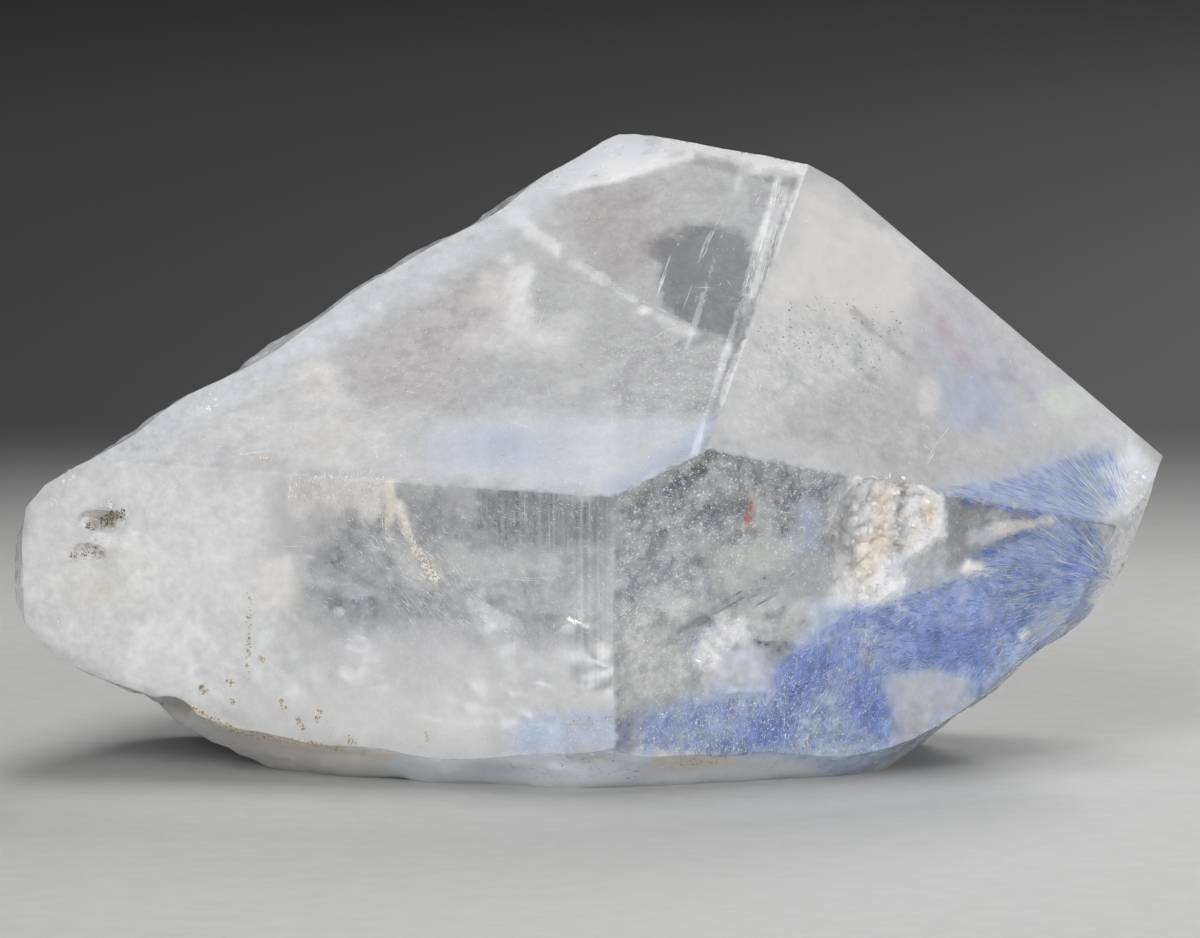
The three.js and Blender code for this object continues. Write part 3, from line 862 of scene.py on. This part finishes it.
class Surface:
    """The solid's surface cut into small triangles that still meet at every edge."""

    def __init__(self):
        self.cad_points, self.cad_triangles = cad_surface()
        self.planes = face_planes(self.cad_points, self.cad_triangles)
        self.plane_of = triangle_planes(self.cad_points, self.cad_triangles, self.planes)
        self.points = [p for p in self.cad_points]
        self.triangles = []
        self.plane = []
        self.split_edges = {}
        self.random = random.Random(SEED)
        self.cut()

    def edge_points(self, a, b):
        """Points from a to b along an edge, the same ones for both of its sides."""
        key = (min(a, b), max(a, b))
        if key not in self.split_edges:
            start, end = self.cad_points[key[0]], self.cad_points[key[1]]
            pieces = max(1, math.ceil(np.linalg.norm(end - start) / FACE_SPACING - EDGE_SLACK))
            made = []
            for i in range(1, pieces):
                made.append(len(self.points))
                self.points.append(start + (end - start) * i / pieces)
            self.split_edges[key] = [key[0], *made, key[1]]
        line = self.split_edges[key]
        return line if line[0] == a else line[::-1]

    def cut(self):
        for i, (normal, _) in enumerate(self.planes):
            members = self.cad_triangles[self.plane_of == i]
            edges = {(t[k], t[(k + 1) % 3]) for t in members.tolist() for k in range(3)}
            outline = [e for e in edges if (e[1], e[0]) not in edges]
            self.cut_patch(outline, normal, i, FACE_SPACING)
        normals, _ = triangle_normals(self.cad_points, self.cad_triangles)
        for t in np.flatnonzero(self.plane_of < 0):
            corners = self.cad_triangles[t].tolist()
            outline = [(corners[k], corners[(k + 1) % 3]) for k in range(3)]
            self.cut_patch(outline, normals[t], -1, BREAK_SPACING)
        self.points = np.array(self.points)
        self.triangles = np.array(self.triangles)
        self.plane = np.array(self.plane)

    def cut_patch(self, outline, normal, plane, spacing):
        lines = [self.edge_points(a, b) for a, b in outline]
        rim = sorted({i for line in lines for i in line})
        place = {index: i for i, index in enumerate(rim)}
        edges = [(place[a], place[b]) for line in lines for a, b in zip(line, line[1:])]
        across = unit(np.cross(normal, np.eye(3)[np.argmin(np.abs(normal))]))
        along = np.cross(normal, across)
        rim_points = np.array([self.points[i] for i in rim])
        flat = np.stack([rim_points @ across, rim_points @ along], axis=1)
        starts = flat[[e[0] for e in edges]]
        ends = flat[[e[1] for e in edges]]
        extra = self.inner_spots(flat, starts, ends, spacing)
        spots = np.concatenate([flat, extra])
        made, _, faces, origins, _, _ = geometry.delaunay_2d_cdt(
            [Vector(s) for s in spots], edges, [], 0, MERGE_GAP
        )
        depth = rim_points[0] @ normal
        index = []
        for spot, origin in zip(made, origins):
            first = origin[0] if origin else -1
            if 0 <= first < len(rim):
                index.append(rim[first])
            else:
                index.append(len(self.points))
                self.points.append(across * spot[0] + along * spot[1] + normal * depth)
        shape = np.array(faces)
        made = np.array([tuple(m) for m in made])
        first, second, third = made[shape[:, 0]], made[shape[:, 1]], made[shape[:, 2]]
        one, two = second - first, third - first
        areas = (one[:, 0] * two[:, 1] - one[:, 1] * two[:, 0]) / 2
        keep = (areas > SMALLEST_AREA) & inside((first + second + third) / 3, starts, ends)
        for face in shape[keep]:
            self.triangles.append([index[i] for i in face])
            self.plane.append(plane)

    def jitter(self):
        return self.random.uniform(-POINT_JITTER, POINT_JITTER)

    def inner_spots(self, flat, starts, ends, spacing):
        """Slightly irregular grid of spots inside an outline, clear of its rim."""
        low, high = flat.min(axis=0), flat.max(axis=0)
        row_gap = spacing * math.sqrt(3) / 2
        grid = []
        for row in range(int((high[1] - low[1]) / row_gap) + 1):
            shift = spacing / 2 * (row % 2)
            for column in range(int((high[0] - low[0]) / spacing) + 1):
                x = low[0] + shift + column * spacing + self.jitter() * spacing
                y = low[1] + row * row_gap + self.jitter() * spacing
                grid.append((x, y))
        if not grid:
            return np.empty((0, 2))
        grid = np.array(grid)
        grid = grid[inside(grid, starts, ends)]
        gap = distance_to(*(np.pad(spots, ((0, 0), (0, 1))) for spots in (grid, flat)))
        return grid[gap > POINT_GAP * spacing]


# Finishing the surface: softer breaks with shell-shaped hollows and grit, growth lines on the faces


def vertex_normals(points, triangles):
    cross = triangle_crosses(points, triangles)
    total = np.zeros_like(points)
    for i in range(3):
        np.add.at(total, triangles[:, i], cross)
    return unit(total)


def mesh_edges(triangles):
    """Each edge once, as pairs of points."""
    pairs = np.concatenate([triangles[:, [0, 1]], triangles[:, [1, 2]], triangles[:, [2, 0]]])
    return np.unique(np.sort(pairs, axis=1), axis=0)


def smooth_points(points, edges, free):
    """Draws the free points towards the middle of their neighbours, a few times."""
    count = np.bincount(edges.ravel(), minlength=len(points))[:, None]
    for _ in range(SMOOTHING_ROUNDS):
        total = np.zeros_like(points)
        np.add.at(total, edges[:, 0], points[edges[:, 1]])
        np.add.at(total, edges[:, 1], points[edges[:, 0]])
        moved = points + SMOOTHING_SHARE * (total / count - points)
        points = np.where(free[:, None], moved, points)
    return points


def distance_to(points, targets):
    tree = kdtree.KDTree(len(targets))
    for i, target in enumerate(targets):
        tree.insert(target, i)
    tree.balance()
    return np.array([tree.find(p)[2] for p in points])


def finished_points(surface):
    """The surface's points, with its breaks roughened and growth lines raised on its faces."""
    points, triangles, plane = surface.points, surface.triangles, surface.plane
    on_face = np.zeros(len(points), bool)
    on_face[triangles[plane >= 0]] = True
    on_break = np.zeros(len(points), bool)
    on_break[triangles[plane < 0]] = True
    points = smooth_points(points, mesh_edges(triangles), ~on_face)
    normals = vertex_normals(points, triangles)
    free = np.flatnonzero(~on_face)
    flaky = crushed(points[free])
    rim_gap = distance_to(points[free], points[on_face & on_break])
    fade = smoothstep(0, np.where(flaky, CRUSH_FADE, BREAK_FADE), rim_gap)
    height = -SHELL_DEPTH * shells(points[free], SHELL_SIZE)
    height += GRIT_HEIGHT * fractal(points[free], GRIT_SIZE)
    height += CRUSH_HEIGHT * flaky * fractal(points[free], CRUSH_SIZE)
    points[free] += normals[free] * (height * fade)[:, None]
    for i, (normal, _) in enumerate(surface.planes):
        if face_name(normal) == "rest":
            continue
        inner = np.setdiff1d(triangles[plane == i], triangles[plane != i])
        points[inner] += normal * growth_lines(points[inner], face_name(normal))[:, None]
    points[:, 2] = np.maximum(points[:, 2], 0)
    return points


def crushed(points):
    """1 where a break is crushed to flakes, and 0 elsewhere."""
    pixels = photo_pixels(points)
    front = points[:, 1] < CRUSH_FRONT
    found = np.zeros(len(points), bool)
    for outline in CRUSHED.values():
        corners = np.array(outline, float)
        found |= inside(pixels, corners, np.roll(corners, -1, axis=0))
    return found & front


def growth_lines(points, face):
    """Height of the fine steps that run across a face at right angles to the crystal's c axis."""
    along = points @ C_AXIS
    lines = np.stack([along / LINE_SIZE, np.full(len(along), len(face)), along * 0], axis=1)
    height = LINE_HEIGHT * fractal(lines, 1, 3)
    swell = SWELL_HEIGHT * fractal(points, SWELL_SIZE, 2)
    return height * LINE_SHARE.get(face, OTHER_LINE_SHARE) + swell


# Marks of the photograph, laid on the crystal's surface


def photo_pixels(points):
    """Where points in millimetres show in the photograph."""
    offset = points - CAMERA_PLACE
    depth = offset @ CAMERA_FORWARD
    across = PHOTO_WIDTH / 2 + FOCAL_PIXELS * (offset @ CAMERA_RIGHT) / depth
    down = PHOTO_HEIGHT / 2 - FOCAL_PIXELS * (offset @ CAMERA_UP) / depth
    return np.stack([across, down], axis=1)


def line_distance(pixels, corners):
    """Distance in pixels from each spot to a line through these corners."""
    nearest = np.full(len(pixels), np.inf)
    for start, end in zip(corners, corners[1:]):
        start, run = np.array(start, float), np.array(end, float) - start
        share = np.clip((pixels - start) @ run / (run @ run), 0, 1)
        nearest = np.minimum(nearest, np.linalg.norm(pixels - start - share[:, None] * run, axis=1))
    return nearest


def mark_weight(mark, pixels, ragged):
    """Share of a mark at each pixel: 1 in its middle and 0 outside, with a ragged edge."""
    if "outline" in mark:
        corners = np.array(mark["outline"], float)
        following = np.roll(corners, -1, axis=0)
        away = line_distance(pixels, [*mark["outline"], mark["outline"][0]])
        away = np.where(inside(pixels, corners, following), -away, away)
        return 1 - smoothstep(-mark["fade"], mark["fade"], away + EDGE_RAGGED * ragged)
    if "line" in mark:
        reach = line_distance(pixels, mark["line"]) / (mark["wide"] / 2)
    else:
        offset = pixels - np.array(mark["at"])
        turn = math.radians(mark.get("turn", 0))
        across = offset[:, 0] * math.cos(turn) - offset[:, 1] * math.sin(turn)
        down = offset[:, 0] * math.sin(turn) + offset[:, 1] * math.cos(turn)
        reach = np.hypot(across / (mark["size"][0] / 2), down / (mark["size"][1] / 2))
    reach = reach + mark.get("ragged", MARK_RAGGED) * ragged
    return 1 - smoothstep(1 - MARK_SOFT, 1 + MARK_SOFT, reach)


def surface_marks(points, normals, face_of):
    """Looks and tint of each point of the crystal's surface."""
    pixels = photo_pixels(points)
    front = smoothstep(*FRONT_TURN, -(normals @ CAMERA_FORWARD))
    ragged = RAGGED_SHARE * fractal(points, RAGGED_LARGE, 3)
    ragged = ragged + RAGGED_SHARE * fractal(points, RAGGED_SMALL, 3, RAGGED_SHIFT)
    looks = {}
    for look in LOOKS:
        looks[look] = np.array([FACE_LOOKS[name].get(look, 0.0) for name in face_of])
    looks["milk"] += CLOUD_SHARE * fractal(points, CLOUD_SIZE, 5, CLOUD_SHIFT)
    tint = np.tile(np.array(TINTS["white"]), (len(points), 1))
    for faces, marks in MARKED_FACES:
        shown = front * np.isin(face_of, faces)
        weights = {}
        for name, mark in marks.items():
            weight = mark_weight(mark, pixels, ragged) * shown
            if "within" in mark:
                weight = weight * weights[mark["within"]]
            weights[name] = weight
            for look in LOOKS:
                if look in mark:
                    looks[look] += weight * (mark[look] - looks[look])
            if "tint" in mark:
                share = (mark.get("share", 1.0) * weight)[:, None]
                tint += share * (np.array(TINTS[mark["tint"]]) - tint)
    return looks, tint


# Pieces


def link_piece(name, points, faces, material):
    """New object from points in millimetres."""
    mesh = bpy.data.meshes.new(name)
    mesh.from_pydata((np.asarray(points) * MM).tolist(), [], list(faces))
    mesh.materials.append(material)
    piece = bpy.data.objects.new(name, mesh)
    bpy.context.scene.collection.objects.link(piece)
    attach(piece, BODY)
    return piece


def set_attribute(mesh, name, values, kind="FLOAT"):
    attribute = mesh.attributes.new(name, kind, "POINT")
    key = "value" if kind == "FLOAT" else "color"
    attribute.data.foreach_set(key, np.asarray(values, np.float32).ravel())


def mark_sharp_edges(mesh, points, triangles, plane):
    """Keeps the edges between faces crisp, and the rest of the surface smooth."""
    normals, _ = triangle_normals(points, triangles)
    sides = {}
    for t, corners in enumerate(triangles.tolist()):
        for k in range(3):
            edge = tuple(sorted((corners[k], corners[(k + 1) % 3])))
            sides.setdefault(edge, []).append(t)
    sharp = np.zeros(len(mesh.edges), bool)
    for i, edge in enumerate(mesh.edges):
        a, b = sides[tuple(sorted(edge.vertices))]
        angle = math.acos(np.clip(normals[a] @ normals[b], -1, 1))
        sharp[i] = (plane[a] != plane[b] and min(plane[a], plane[b]) >= 0) or angle > SHARP_ANGLE
    mesh.polygons.foreach_set("use_smooth", np.ones(len(mesh.polygons), bool))
    mesh.edges.foreach_set("use_edge_sharp", sharp)
    mesh.update()


def quartz_crystal(surface, points):
    triangles, plane = surface.triangles, surface.plane
    names = [face_name(normal) for normal, _ in surface.planes]
    face_of = np.full(len(points), BREAK, dtype="U16")
    for i, name in enumerate(names):
        face_of[triangles[plane == i]] = name
    normals = vertex_normals(points, triangles)
    looks, tint = surface_marks(points, normals, face_of)
    piece = link_piece("quartz_crystal_skin", points, triangles.tolist(), quartz_material())
    mark_sharp_edges(piece.data, points, triangles, plane)
    for name, values in looks.items():
        set_attribute(piece.data, name, values)
    broken = (face_of == BREAK) * np.where(crushed(points), CRUSH_BUMP, 1.0)
    set_attribute(piece.data, "broken", broken)
    set_attribute(piece.data, "tint", np.c_[tint, np.ones(len(tint))], "FLOAT_COLOR")
    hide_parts(NODE)
    return piece


# Inclusions in the crystal and marks on its skin, placed where the photograph shows them


class Sight:
    """Looks into the crystal along the photograph's lines of sight."""

    def __init__(self, points, triangles):
        self.tree = BVHTree.FromPolygons([Vector(p) for p in points], triangles.tolist())

    def enter(self, pixel):
        """Where the line of sight meets the skin, the skin's normal, the line inside, and its length."""
        line = CAMERA_FORWARD * FOCAL_PIXELS
        line = line + CAMERA_RIGHT * (pixel[0] - PHOTO_WIDTH / 2)
        line = unit(line - CAMERA_UP * (pixel[1] - PHOTO_HEIGHT / 2))
        hit, normal, _, _ = self.tree.ray_cast(Vector(CAMERA_PLACE), Vector(line))
        if hit is None:
            return None
        hit, normal = np.array(hit), np.array(normal)
        facing = -(line @ normal)
        ratio = 1 / QUARTZ_IOR
        bent = ratio * line + (ratio * facing - math.sqrt(1 - ratio**2 * (1 - facing**2))) * normal
        far = self.tree.ray_cast(Vector(hit + bent * SKIN_GAP), Vector(bent))
        reach = SKIN_GAP + (far[3] if far[0] is not None else 0)
        return hit, normal, bent, reach

    def holds(self, point):
        """Whether a point lies inside the crystal, clear of its skin."""
        nearest, normal, _, distance = self.tree.find_nearest(Vector(point))
        return distance > SKIN_GAP and (Vector(point) - nearest).dot(normal) < 0


def scattered(sight, bed, rng):
    """Points behind random pixels of an outline, in the crystal or on its skin, with the skin's normals."""
    outline = np.array(bed["outline"], float)
    low, high = outline.min(axis=0), outline.max(axis=0)
    pixels = []
    while len(pixels) < bed["count"]:
        tried = np.array([[rng.uniform(a, b) for a, b in zip(low, high)] for _ in range(bed["count"])])
        pixels.extend(tried[inside(tried, outline, np.roll(outline, -1, axis=0))])
    found = []
    for pixel in pixels[: bed["count"]]:
        entry = sight.enter(pixel)
        if entry is None:
            continue
        hit, normal, bent, reach = entry
        if "depth" in bed:
            hit = hit + bent * min(rng.uniform(*bed["depth"]), reach - SKIN_GAP)
        else:
            hit = hit + normal * SKIN_LIFT
        found.append((hit, normal))
    return found


def random_direction(rng):
    return unit(np.array([rng.gauss(0, 1) for _ in range(3)]))


def tip_faces(corners):
    """Faces between two tips and a ring of that many corners that comes after them."""
    faces = []
    for k in range(corners):
        following = (k + 1) % corners
        faces.append((0, 2 + following, 2 + k))
        faces.append((1, 2 + k, 2 + following))
    return faces


def needle_shape(middle, direction, length, width):
    """Thin three-sided needle, pointed at both ends."""
    across = unit(np.cross(direction, OFF_AXIS))
    other = np.cross(direction, across)
    ring = []
    for turn in (0, 2 * math.pi / 3, 4 * math.pi / 3):
        ring.append(middle + width / 2 * (math.cos(turn) * across + math.sin(turn) * other))
    tips = [middle - direction * length / 2, middle + direction * length / 2]
    return [*tips, *ring], tip_faces(len(ring))


def speck_shape(middle, direction, size, rng):
    """Small flat grain with four to six corners, pointed on both sides."""
    across = unit(np.cross(direction, OFF_AXIS))
    other = np.cross(direction, across)
    corners = rng.randint(*SPECK_CORNERS)
    shape = [middle - direction * size * SPECK_FLATNESS, middle + direction * size * SPECK_FLATNESS]
    for k in range(corners):
        turn = 2 * math.pi * (k + rng.uniform(-SPECK_JITTER, SPECK_JITTER)) / corners
        reach = size / 2 * rng.uniform(*SPECK_REACH)
        shape.append(middle + reach * (math.cos(turn) * across + math.sin(turn) * other))
    return shape, tip_faces(corners)


class Bundle:
    """Many small shapes joined in one piece, each with a colour of its own."""

    def __init__(self, seed):
        self.points = []
        self.faces = []
        self.colours = []
        self.random = random.Random(seed)

    def add(self, points, faces, colour):
        first = len(self.points)
        self.points.extend(points)
        self.faces.extend(tuple(first + i for i in face) for face in faces)
        self.colours.extend([(*colour, 1)] * len(points))

    def piece(self, name, material, slot=None):
        made = link_piece(name, self.points, self.faces, material)
        set_attribute(made.data, "tint", self.colours, "FLOAT_COLOR")
        return made


def lean_of(sight, bed, middle, fan_middle):
    """Direction that a bed's needles follow at one point."""
    if "fan" in bed:
        return unit(middle - fan_middle)
    if "along" in bed:
        ends = [sight.enter(pixel)[0] for pixel in bed["along"]]
        return unit(ends[1] - ends[0])
    return np.array(bed.get("lean", UPRIGHT))


def grow_needles(bundle, sight, beds, length, width, colours, loose):
    hit, _, bent, _ = sight.enter(FAN_MIDDLE)
    fan_middle = hit + bent * FAN_DEPTH
    rng = bundle.random
    for bed in beds.values():
        spread = bed.get("fan", bed.get("loose", loose))
        for middle, normal in scattered(sight, bed, rng):
            lean = lean_of(sight, bed, middle, fan_middle)
            direction = unit(lean + spread * random_direction(rng))
            run = rng.uniform(*bed.get("length", length))
            size = rng.uniform(*bed.get("width", width))
            colour = rng.choice(bed.get("colours", colours))
            if "depth" not in bed:
                direction = unit(direction - (direction @ normal) * normal)
            ends = [middle - direction * run / 2, middle + direction * run / 2]
            if "depth" not in bed or (sight.holds(ends[0]) and sight.holds(ends[1])):
                bundle.add(*needle_shape(middle, direction, run, size), colour)


def scatter_specks(bundle, sight, beds, size, colours):
    rng = bundle.random
    for bed in beds.values():
        for middle, normal in scattered(sight, bed, rng):
            facing = random_direction(rng)
            if "depth" not in bed:
                facing = unit(normal + bed.get("tilt", SPECK_TILT) * facing)
            speck = speck_shape(middle, facing, rng.uniform(*bed.get("size", size)), rng)
            bundle.add(*speck, rng.choice(bed.get("colours", colours)))


def make_inclusions(sight):
    """What lies inside the crystal, as pieces."""
    needles = Bundle(SEED)
    grow_needles(needles, sight, NEEDLES, None, FINE, BLUES, LOOSE_NEEDLES)
    specks = Bundle(SEED + 1)
    scatter_specks(specks, sight, SPECKS, STAIN_SIZE, WHITES)
    return [
        needles.piece("dumortierite_needles", inclusion_material("dumortierite"), "dumortierite"),
        specks.piece("inner_specks", inclusion_material("specks"), "quartz"),
    ]


def make_skin_marks(sight):
    """Fine fibres, smears, hairlines, cracks, grains and stains that lie on the crystal's skin."""
    felt = Bundle(SEED + 2)
    grow_needles(felt, sight, SKIN_NEEDLES, None, FELT, FELT_BLUES, LOOSE_NEEDLES)
    felt.piece("dumortierite_felt", inclusion_material("felt"), "dumortierite")
    smears = Bundle(SEED + 3)
    grow_needles(smears, sight, SMEARS, SMEAR_LENGTH, SMEAR_WIDTH, BEIGES, LOOSE_HAIRS)
    smears.piece("pale_smears", inclusion_material("smears"))
    hairs = Bundle(SEED + 4)
    grow_needles(hairs, sight, HAIRLINES, HAIR_LENGTH, HAIR_WIDTH, WHITES, LOOSE_HAIRS)
    hairs.piece("growth_hairlines", inclusion_material("hairlines"), "quartz")
    cracks = Bundle(SEED + 5)
    grow_needles(cracks, sight, CRACKS, HAIR_LENGTH, CRACK_WIDTH, DARKS, LOOSE_HAIRS)
    cracks.piece("fine_cracks", inclusion_material("cracks"))
    grains = Bundle(SEED + 6)
    scatter_specks(grains, sight, SKIN_SPECKS, STAIN_SIZE, WHITES)
    grains.piece("quartz_grains", inclusion_material("grains"), "quartz")
    stains = Bundle(SEED + 7)
    scatter_specks(stains, sight, STAINS, STAIN_SIZE, BROWNS)
    stains.piece("mineral_stains", inclusion_material("stains"))


# Materials


class Nodes:
    """Short forms for building a material's nodes."""

    def __init__(self, name):
        self.material = bpy.data.materials.new(name)
        self.material.use_nodes = True
        self.tree = self.material.node_tree
        self.shader = self.tree.nodes["Principled BSDF"]
        self.output = self.tree.nodes["Material Output"]
        self.place = self.add("ShaderNodeTexCoord").outputs["Object"]

    def add(self, kind, **settings):
        made = self.tree.nodes.new(kind)
        for key, value in settings.items():
            setattr(made, key, value)
        return made

    def link(self, source, target):
        self.tree.links.new(source, target)

    def attribute(self, name, output="Fac"):
        return self.add("ShaderNodeAttribute", attribute_name=name).outputs[output]

    def noise(self, size, detail=4.0, roughness=0.55):
        """Noise with lumps of this size in millimetres."""
        made = self.add("ShaderNodeTexNoise")
        made.inputs["Scale"].default_value = 1 / (size * MM)
        made.inputs["Detail"].default_value = detail
        made.inputs["Roughness"].default_value = roughness
        self.link(self.place, made.inputs["Vector"])
        return made.outputs["Fac"]

    def math(self, operation, *values, clamp=False):
        made = self.add("ShaderNodeMath", operation=operation, use_clamp=clamp)
        for socket, value in zip(made.inputs, values):
            if isinstance(value, (int, float)):
                socket.default_value = value
            else:
                self.link(value, socket)
        return made.outputs[0]

    def range(self, value, low, high, to_low, to_high):
        made = self.add("ShaderNodeMapRange", interpolation_type="SMOOTHSTEP")
        for socket, number in zip(made.inputs[1:5], (low, high, to_low, to_high)):
            socket.default_value = number
        self.link(value, made.inputs[0])
        return made.outputs[0]

    def shade(self, colour, share):
        """Colour made lighter and darker by a share that varies about 1."""
        made = self.add("ShaderNodeVectorMath", operation="SCALE")
        self.link(colour, made.inputs[0])
        self.link(share, made.inputs["Scale"])
        return made.outputs[0]

    def set(self, **values):
        for key, value in values.items():
            self.shader.inputs[key.replace("_", " ")].default_value = value


def quartz_material():
    made = Nodes("quartz")
    made.set(
        IOR=QUARTZ_IOR,
        Subsurface_Weight=SUBSURFACE_SHARE,
        Subsurface_Radius=(1.0, 1.0, 1.0),
        Subsurface_Scale=SUBSURFACE_REACH * MM,
    )
    grain = made.math("SUBTRACT", made.noise(GRAIN_SIZE, 3), NOISE_MIDDLE)
    lumps = made.math("SUBTRACT", made.noise(LUMP_SIZE, 2), NOISE_MIDDLE)
    mottle = made.math("MULTIPLY_ADD", grain, GRAIN_SHARE, made.math("MULTIPLY", lumps, LUMP_SHARE))
    along = made.add("ShaderNodeVectorMath", operation="DOT_PRODUCT")
    along.inputs[1].default_value = C_AXIS
    made.link(made.place, along.inputs[0])
    lines = made.add("ShaderNodeTexNoise", noise_dimensions="1D")
    lines.inputs["Scale"].default_value = 1 / (STRIPE_SIZE * MM)
    made.link(along.outputs["Value"], lines.inputs["W"])
    stripes = made.math("SUBTRACT", lines.outputs["Fac"], NOISE_MIDDLE)
    ridge = made.math("SUBTRACT", made.noise(VEIL_SIZE, 4, VEIL_ROUGHNESS), NOISE_MIDDLE)
    ridge = made.math("ABSOLUTE", ridge)
    veil = made.range(ridge, *VEIL_RANGE)
    speckle = made.range(made.noise(SPECKLE_SIZE, 1), *SPECKLE_RANGE)
    milk = made.math("MULTIPLY_ADD", made.attribute("mottle"), mottle, made.attribute("milk"))
    milk = made.math("MULTIPLY_ADD", made.attribute("veil"), veil, milk)
    milk = made.math("MULTIPLY_ADD", made.attribute("speckle"), speckle, milk)
    milk = made.math("MULTIPLY_ADD", made.attribute("stripes"), stripes, milk, clamp=True)
    clear = made.math("SUBTRACT", 1.0, milk)
    made.link(clear, made.shader.inputs["Transmission Weight"])
    uneven = made.math("MULTIPLY", grain, GRAIN_TINT)
    uneven = made.math("MULTIPLY_ADD", made.attribute("mottle"), uneven, 1.0)
    made.link(made.shade(made.attribute("tint", "Color"), uneven), made.shader.inputs["Base Color"])
    frost = made.math("MULTIPLY", made.attribute("frost"), made.range(lumps, *LUMP_FROST), clamp=True)
    made.link(frost, made.shader.inputs["Roughness"])
    bump = made.add("ShaderNodeBump")
    bump.inputs["Distance"].default_value = BUMP_HEIGHT * MM
    strength = made.math("MULTIPLY_ADD", made.attribute("broken"), BUMP_ON_BREAKS, BUMP_ON_FACES)
    made.link(strength, bump.inputs["Strength"])
    made.link(made.noise(BUMP_SIZE, 2), bump.inputs["Height"])
    made.link(bump.outputs["Normal"], made.shader.inputs["Normal"])
    absorb = made.add("ShaderNodeVolumeAbsorption")
    absorb.inputs["Color"].default_value = (*ABSORPTION_COLOUR, 1)
    absorb.inputs["Density"].default_value = ABSORPTION_DENSITY
    made.link(absorb.outputs["Volume"], made.output.inputs["Volume"])
    return made.material


def inclusion_material(name):
    """Opaque mineral whose colour is each small shape's own, a little uneven along it."""
    made = Nodes(name)
    made.set(Roughness=ROUGHNESS[name], IOR=INCLUSION_IOR)
    uneven = made.range(made.noise(UNEVEN_SIZE, 2), *MIDDLE_NOISE, *UNEVEN_SHADE)
    made.link(made.shade(made.attribute("tint", "Color"), uneven), made.shader.inputs["Base Color"])
    return made.material


# Stage: camera, floor and lights


def aim(piece, target):
    direction = Vector(target) - piece.location
    piece.rotation_euler = direction.to_track_quat("-Z", "Y").to_euler()


def make_camera():
    data = bpy.data.cameras.new("camera")
    data.sensor_width = SENSOR_WIDTH
    data.lens = FOCAL_PIXELS * SENSOR_WIDTH / PHOTO_WIDTH
    data.clip_start = CLIP_START
    camera = bpy.data.objects.new("camera", data)
    camera.location = CAMERA_PLACE * MM
    aim(camera, CAMERA_AIM * MM)
    bpy.context.scene.collection.objects.link(camera)
    bpy.context.scene.camera = camera


def make_light(name, place, size, power):
    data = bpy.data.lights.new(name, "AREA")
    data.shape = "DISK"
    data.size = size
    data.energy = power
    light = bpy.data.objects.new(name, data)
    light.location = place
    aim(light, LIGHT_AIM)
    bpy.context.scene.collection.objects.link(light)
    return light


def light_inclusions(pieces):
    """The same lights once more for the inclusions alone, which the clear crystal doesn't shade."""
    group = bpy.data.collections.new("inclusions")
    for piece in pieces:
        group.objects.link(piece)
    for name, (place, size, power) in LIGHTS.items():
        light = make_light(name + "_inside", place, size, power * INNER_LIGHT)
        light.light_linking.receiver_collection = group
        light.light_linking.blocker_collection = group


def floor_material():
    made = Nodes("floor")
    made.set(Roughness=FLOOR_ROUGHNESS)
    # Painted shade: the floor's colour falls from pale to nearly black between two distances from its
    # middle, as if the light fell off there
    distance = made.add("ShaderNodeVectorMath", operation="LENGTH")
    made.link(made.place, distance.inputs[0])
    fade = made.range(distance.outputs["Value"], FLOOR_SHADE_START * MM, FLOOR_SHADE_END * MM, 1.0, FLOOR_FAR_SHADE)
    grain = made.range(made.noise(FLOOR_GRAIN, 3), *MIDDLE_NOISE, *FLOOR_UNEVEN)
    colour = made.add("ShaderNodeRGB")
    colour.outputs[0].default_value = (*FLOOR_COLOUR, 1)
    shaded = made.shade(made.shade(colour.outputs[0], fade), grain)
    made.link(shaded, made.shader.inputs["Base Color"])
    return made.material


def make_floor():
    ring = [
        (math.cos(a) * FLOOR_RADIUS * MM, math.sin(a) * FLOOR_RADIUS * MM, 0)
        for a in np.linspace(0, 2 * math.pi, FLOOR_CORNERS, endpoint=False)
    ]
    mesh = bpy.data.meshes.new("floor")
    mesh.from_pydata(ring, [], [list(range(len(ring)))])
    mesh.materials.append(floor_material())
    floor = bpy.data.objects.new("floor", mesh)
    bpy.context.scene.collection.objects.link(floor)


def make_stage():
    make_camera()
    make_floor()
    for name, settings in LIGHTS.items():
        make_light(name, *settings)
    world = bpy.data.worlds.new("studio")
    world.use_nodes = True
    world.node_tree.nodes["Background"].inputs["Color"].default_value = (*WORLD_COLOUR, 1)
    bpy.context.scene.world = world
    bpy.context.scene.view_settings.view_transform = "Standard"
    cycles = bpy.context.scene.cycles
    cycles.use_denoising = True
    cycles.use_light_tree = False
    cycles.adaptive_threshold = 0.15
    cycles.max_bounces = 6
    cycles.transmission_bounces = 6
    cycles.diffuse_bounces = 1
    cycles.glossy_bounces = 3


surface = Surface()
points = finished_points(surface)
sight = Sight(points, surface.triangles)
quartz_crystal(surface, points)
inclusions = make_inclusions(sight)
make_skin_marks(sight)
make_stage()
light_inclusions(inclusions)
